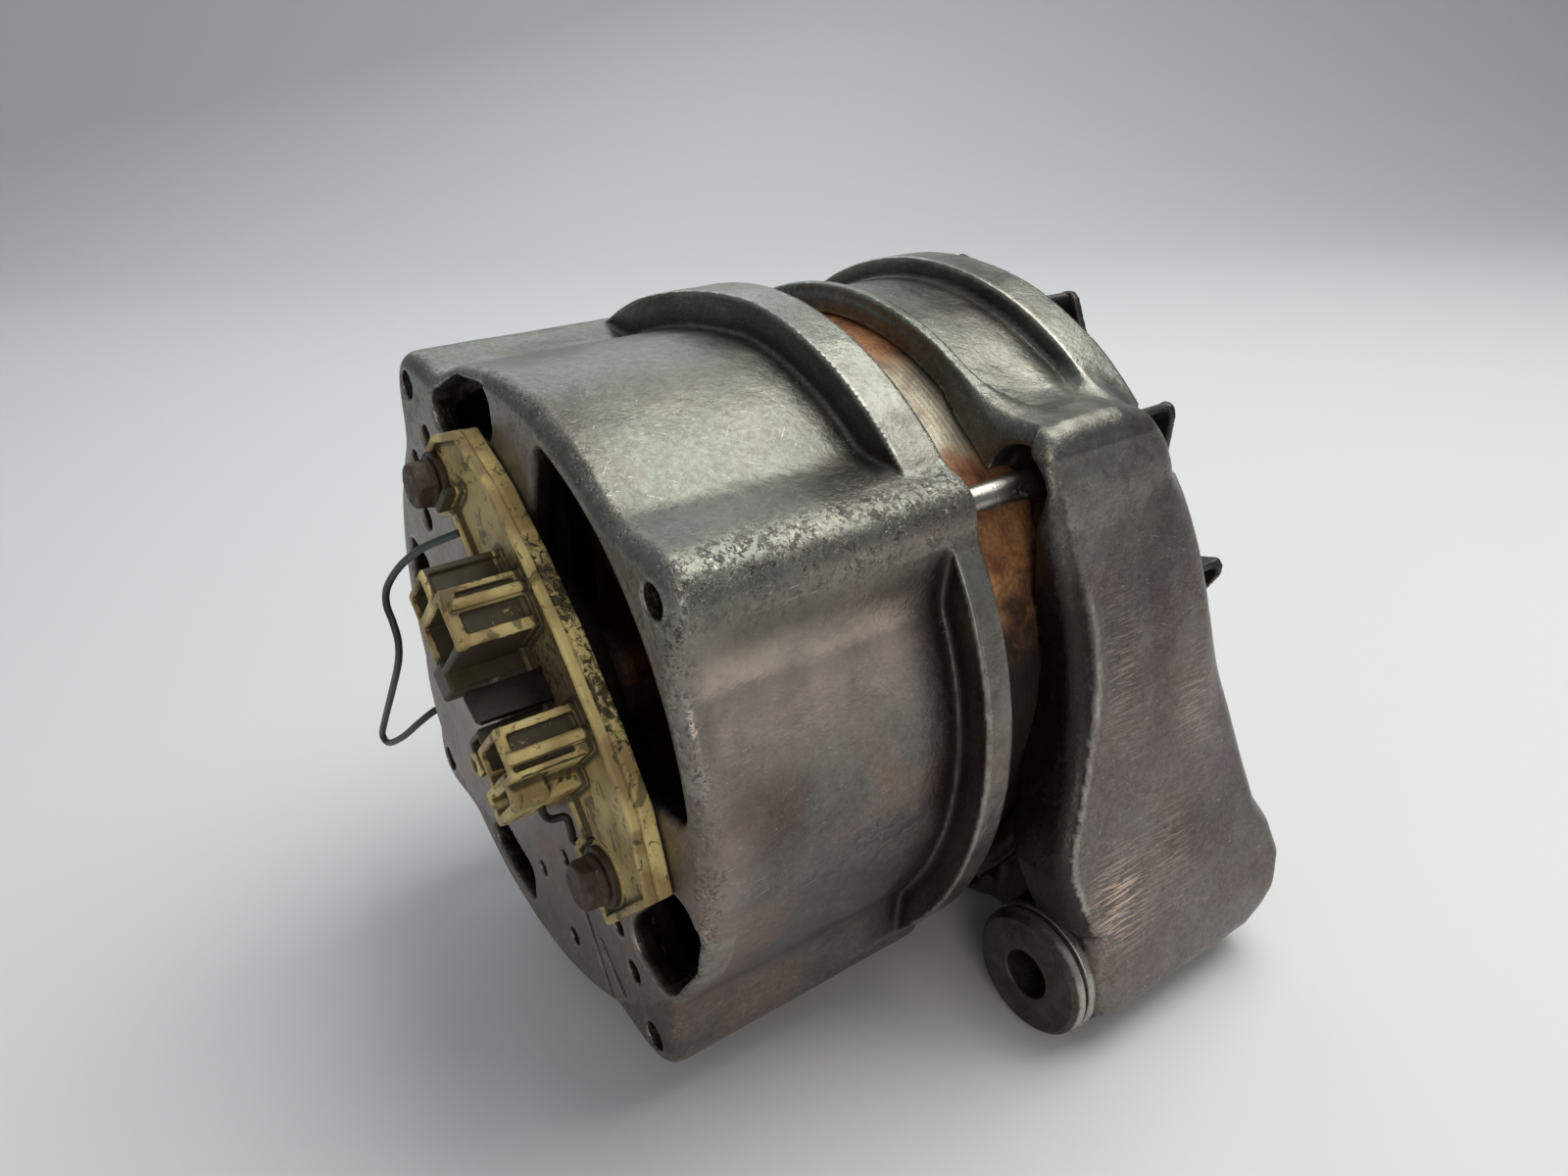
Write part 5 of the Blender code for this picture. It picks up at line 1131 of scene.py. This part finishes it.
def smooth_route(points, step):
    dense = []
    pts = [points[0]] + list(points) + [points[-1]]
    for i in range(1, len(pts) - 2):
        p0, p1, p2, p3 = (Vector(p) for p in pts[i - 1:i + 3])
        for k in range(16):
            t = k / 16
            dense.append(0.5 * ((2 * p1) + (p2 - p0) * t + (2 * p0 - 5 * p1 + 4 * p2 - p3) * t * t + (3 * p1 - p0 - 3 * p2 + p3) * t ** 3))
    dense.append(Vector(points[-1]))
    line = np.array([tuple(p) for p in dense])
    along = np.concatenate([[0], np.cumsum(np.linalg.norm(np.diff(line, axis=0), axis=1))])
    at = np.linspace(0, along[-1], int(round(along[-1] / step)) + 1)
    return np.stack([np.interp(at, along, line[:, k]) for k in range(3)], 1), along[-1]


def strand(name, route, radius, step, nodes, material):
    points, length = smooth_route(route, step)
    curve = bpy.data.curves.new(name, "CURVE")
    curve.dimensions = "3D"
    curve.bevel_depth = radius / 1000
    curve.bevel_resolution = 5
    curve.use_fill_caps = True
    spline = curve.splines.new("POLY")
    spline.points.add(len(points) - 1)
    for target, p in zip(spline.points, points):
        target.co = (*world(p), 1.0)
    spline.use_smooth = True
    obj = bpy.data.objects.new(name, curve)
    bpy.context.scene.collection.objects.link(obj)
    curve.materials.append(material)
    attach(obj, "housing")
    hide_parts(*nodes)
    return obj, length / 1000


lead, lead_length = strand("thin_lead", LEAD_ROUTE, 0.75, 1.2, ["suppression_lead"], LEAD_MAT)
CLIP_XUV = [(-9.8, 21.0, 16.0), (-9.5, 22.4, 13.8), (-8.0, 23.7, 11.6), (-6.0, 24.5, 13.2), (-5.4, 26.6, 11.6), (-5.0, 28.2, 9.6), (-4.5, 29.1, 9.7), (-4.0, 29.8, 13.4), (-3.0, 30.2, 16.4)]
strand("wire_clip", [(x, u * EU[0] + v * EV[0], u * EU[1] + v * EV[1]) for x, u, v in CLIP_XUV], 0.72, 0.5, ["spring_clip"], BLADE_MAT)

# ---------------------------------------------------------------- carried-over CAD nodes
CARRIED = {
    "stator_winding": ENAMEL_MAT, "field_coil": COPPER_MAT, "slip_ring_hub": PHENOLIC_MAT, "slip_ring_1": COPPER_MAT, "slip_ring_2": COPPER_MAT,
    "brush_holder": PHENOLIC_MAT, "brush_1": CARBON_MAT, "brush_2": CARBON_MAT, "rectifier_plate": ALU_PLATE_MAT,
    "diode_1": DARK_STEEL_MAT, "diode_2": DARK_STEEL_MAT, "diode_3": DARK_STEEL_MAT, "rear_claw_pole": FORGED_MAT, "front_claw_pole": FORGED_MAT,
    "bearing_retainer": DARK_STEEL_MAT,
}
for name, obj in frame["nodes"].items():
    if obj.hide_render:
        continue
    mat = CARRIED.get(name, STEEL_MAT)
    obj.data.materials.clear()
    obj.data.materials.append(mat)
    bevel = obj.modifiers.new("edges", "BEVEL")
    bevel.width = 0.00025
    bevel.segments = 2
    bevel.limit_method = "ANGLE"
    bevel.angle_limit = math.radians(40)
    bevel.harden_normals = False

# ---------------------------------------------------------------- stage, lights and camera
floor_mat = Finish("floor")
floor_mat.done(Base_Color=floor_mat.mix(floor_mat.noise(400, 2, 0.4), (0.68, 0.685, 0.69), (0.72, 0.725, 0.73)), Roughness=0.55)
verts, faces = [], []
profile = [(-2.5, 0.0), (0.9, 0.0)]
for k in range(1, 13):
    a = math.pi / 2 * k / 12
    profile.append((0.9 + 0.7 * math.sin(a), 0.7 * (1 - math.cos(a))))
profile.append((1.6, 3.5))
turn = math.radians(-35.2)
for s in (-4.0, 4.0):
    for d, h in profile:
        # the sweep stands square to the direction of view
        verts.append((d * math.cos(turn + math.pi / 2) * 1.0 + s * math.sin(turn + math.pi / 2), d * math.sin(turn + math.pi / 2) - s * math.cos(turn + math.pi / 2), h))
n = len(profile)
for i in range(n - 1):
    faces.append((i, i + n, i + 1 + n, i + 1))
floor = bpy.data.meshes.new("floor")
floor.from_pydata(verts, [], faces)
floor.shade_smooth()
floor_obj = bpy.data.objects.new("floor", floor)
bpy.context.scene.collection.objects.link(floor_obj)
floor.materials.append(floor_mat.mat)

sky = bpy.data.worlds.new("studio")
bpy.context.scene.world = sky
sky.use_nodes = True
sky.node_tree.nodes["Background"].inputs["Color"].default_value = (0.86, 0.92, 1.0, 1.0)
sky.node_tree.nodes["Background"].inputs["Strength"].default_value = 0.28

CENTRE = world((60.0, -5.0, 0.0))


def lamp(name, direction, distance, size, watts, colour=(1.0, 1.0, 1.0)):
    data = bpy.data.lights.new(name, "AREA")
    data.shape = "RECTANGLE"
    data.size, data.size_y = size
    data.energy = watts
    data.color = colour
    obj = bpy.data.objects.new(name, data)
    bpy.context.scene.collection.objects.link(obj)
    d = Vector(direction).normalized()
    obj.location = CENTRE + d * distance
    obj.rotation_euler = (-d).to_track_quat("-Z", "Y").to_euler()
    return obj


lamp("key", (0.42, -0.10, 0.90), 1.0, (1.0, 0.8), 10.0, (1.0, 0.99, 0.95))
lamp("fill", (-0.45, -0.80, 0.40), 1.4, (0.45, 0.9), 4.3, (1.0, 0.92, 0.86))
lamp("back", (0.3, 0.9, 0.6), 1.3, (1.0, 0.6), 2.8, (0.94, 0.97, 1.0))

camera = bpy.data.cameras.new("camera")
camera.sensor_fit = "HORIZONTAL"
camera.sensor_width = 36.0
camera.lens = 27.12
camera.clip_start = 0.01
camera_obj = bpy.data.objects.new("camera", camera)
bpy.context.scene.collection.objects.link(camera_obj)
right, down, forward = (0.80746285, -0.58889996, -0.03464948), (-0.26796744, -0.31382606, -0.91088235), (0.52554467, 0.74478859, -0.4112089)
at = world((-71.963, -187.541, 108.923))
camera_obj.matrix_world = Matrix((
    (right[0], -down[0], -forward[0], at.x), (right[1], -down[1], -forward[1], at.y), (right[2], -down[2], -forward[2], at.z), (0, 0, 0, 1)))
bpy.context.scene.camera = camera_obj
bpy.context.scene.view_settings.view_transform = "Standard"
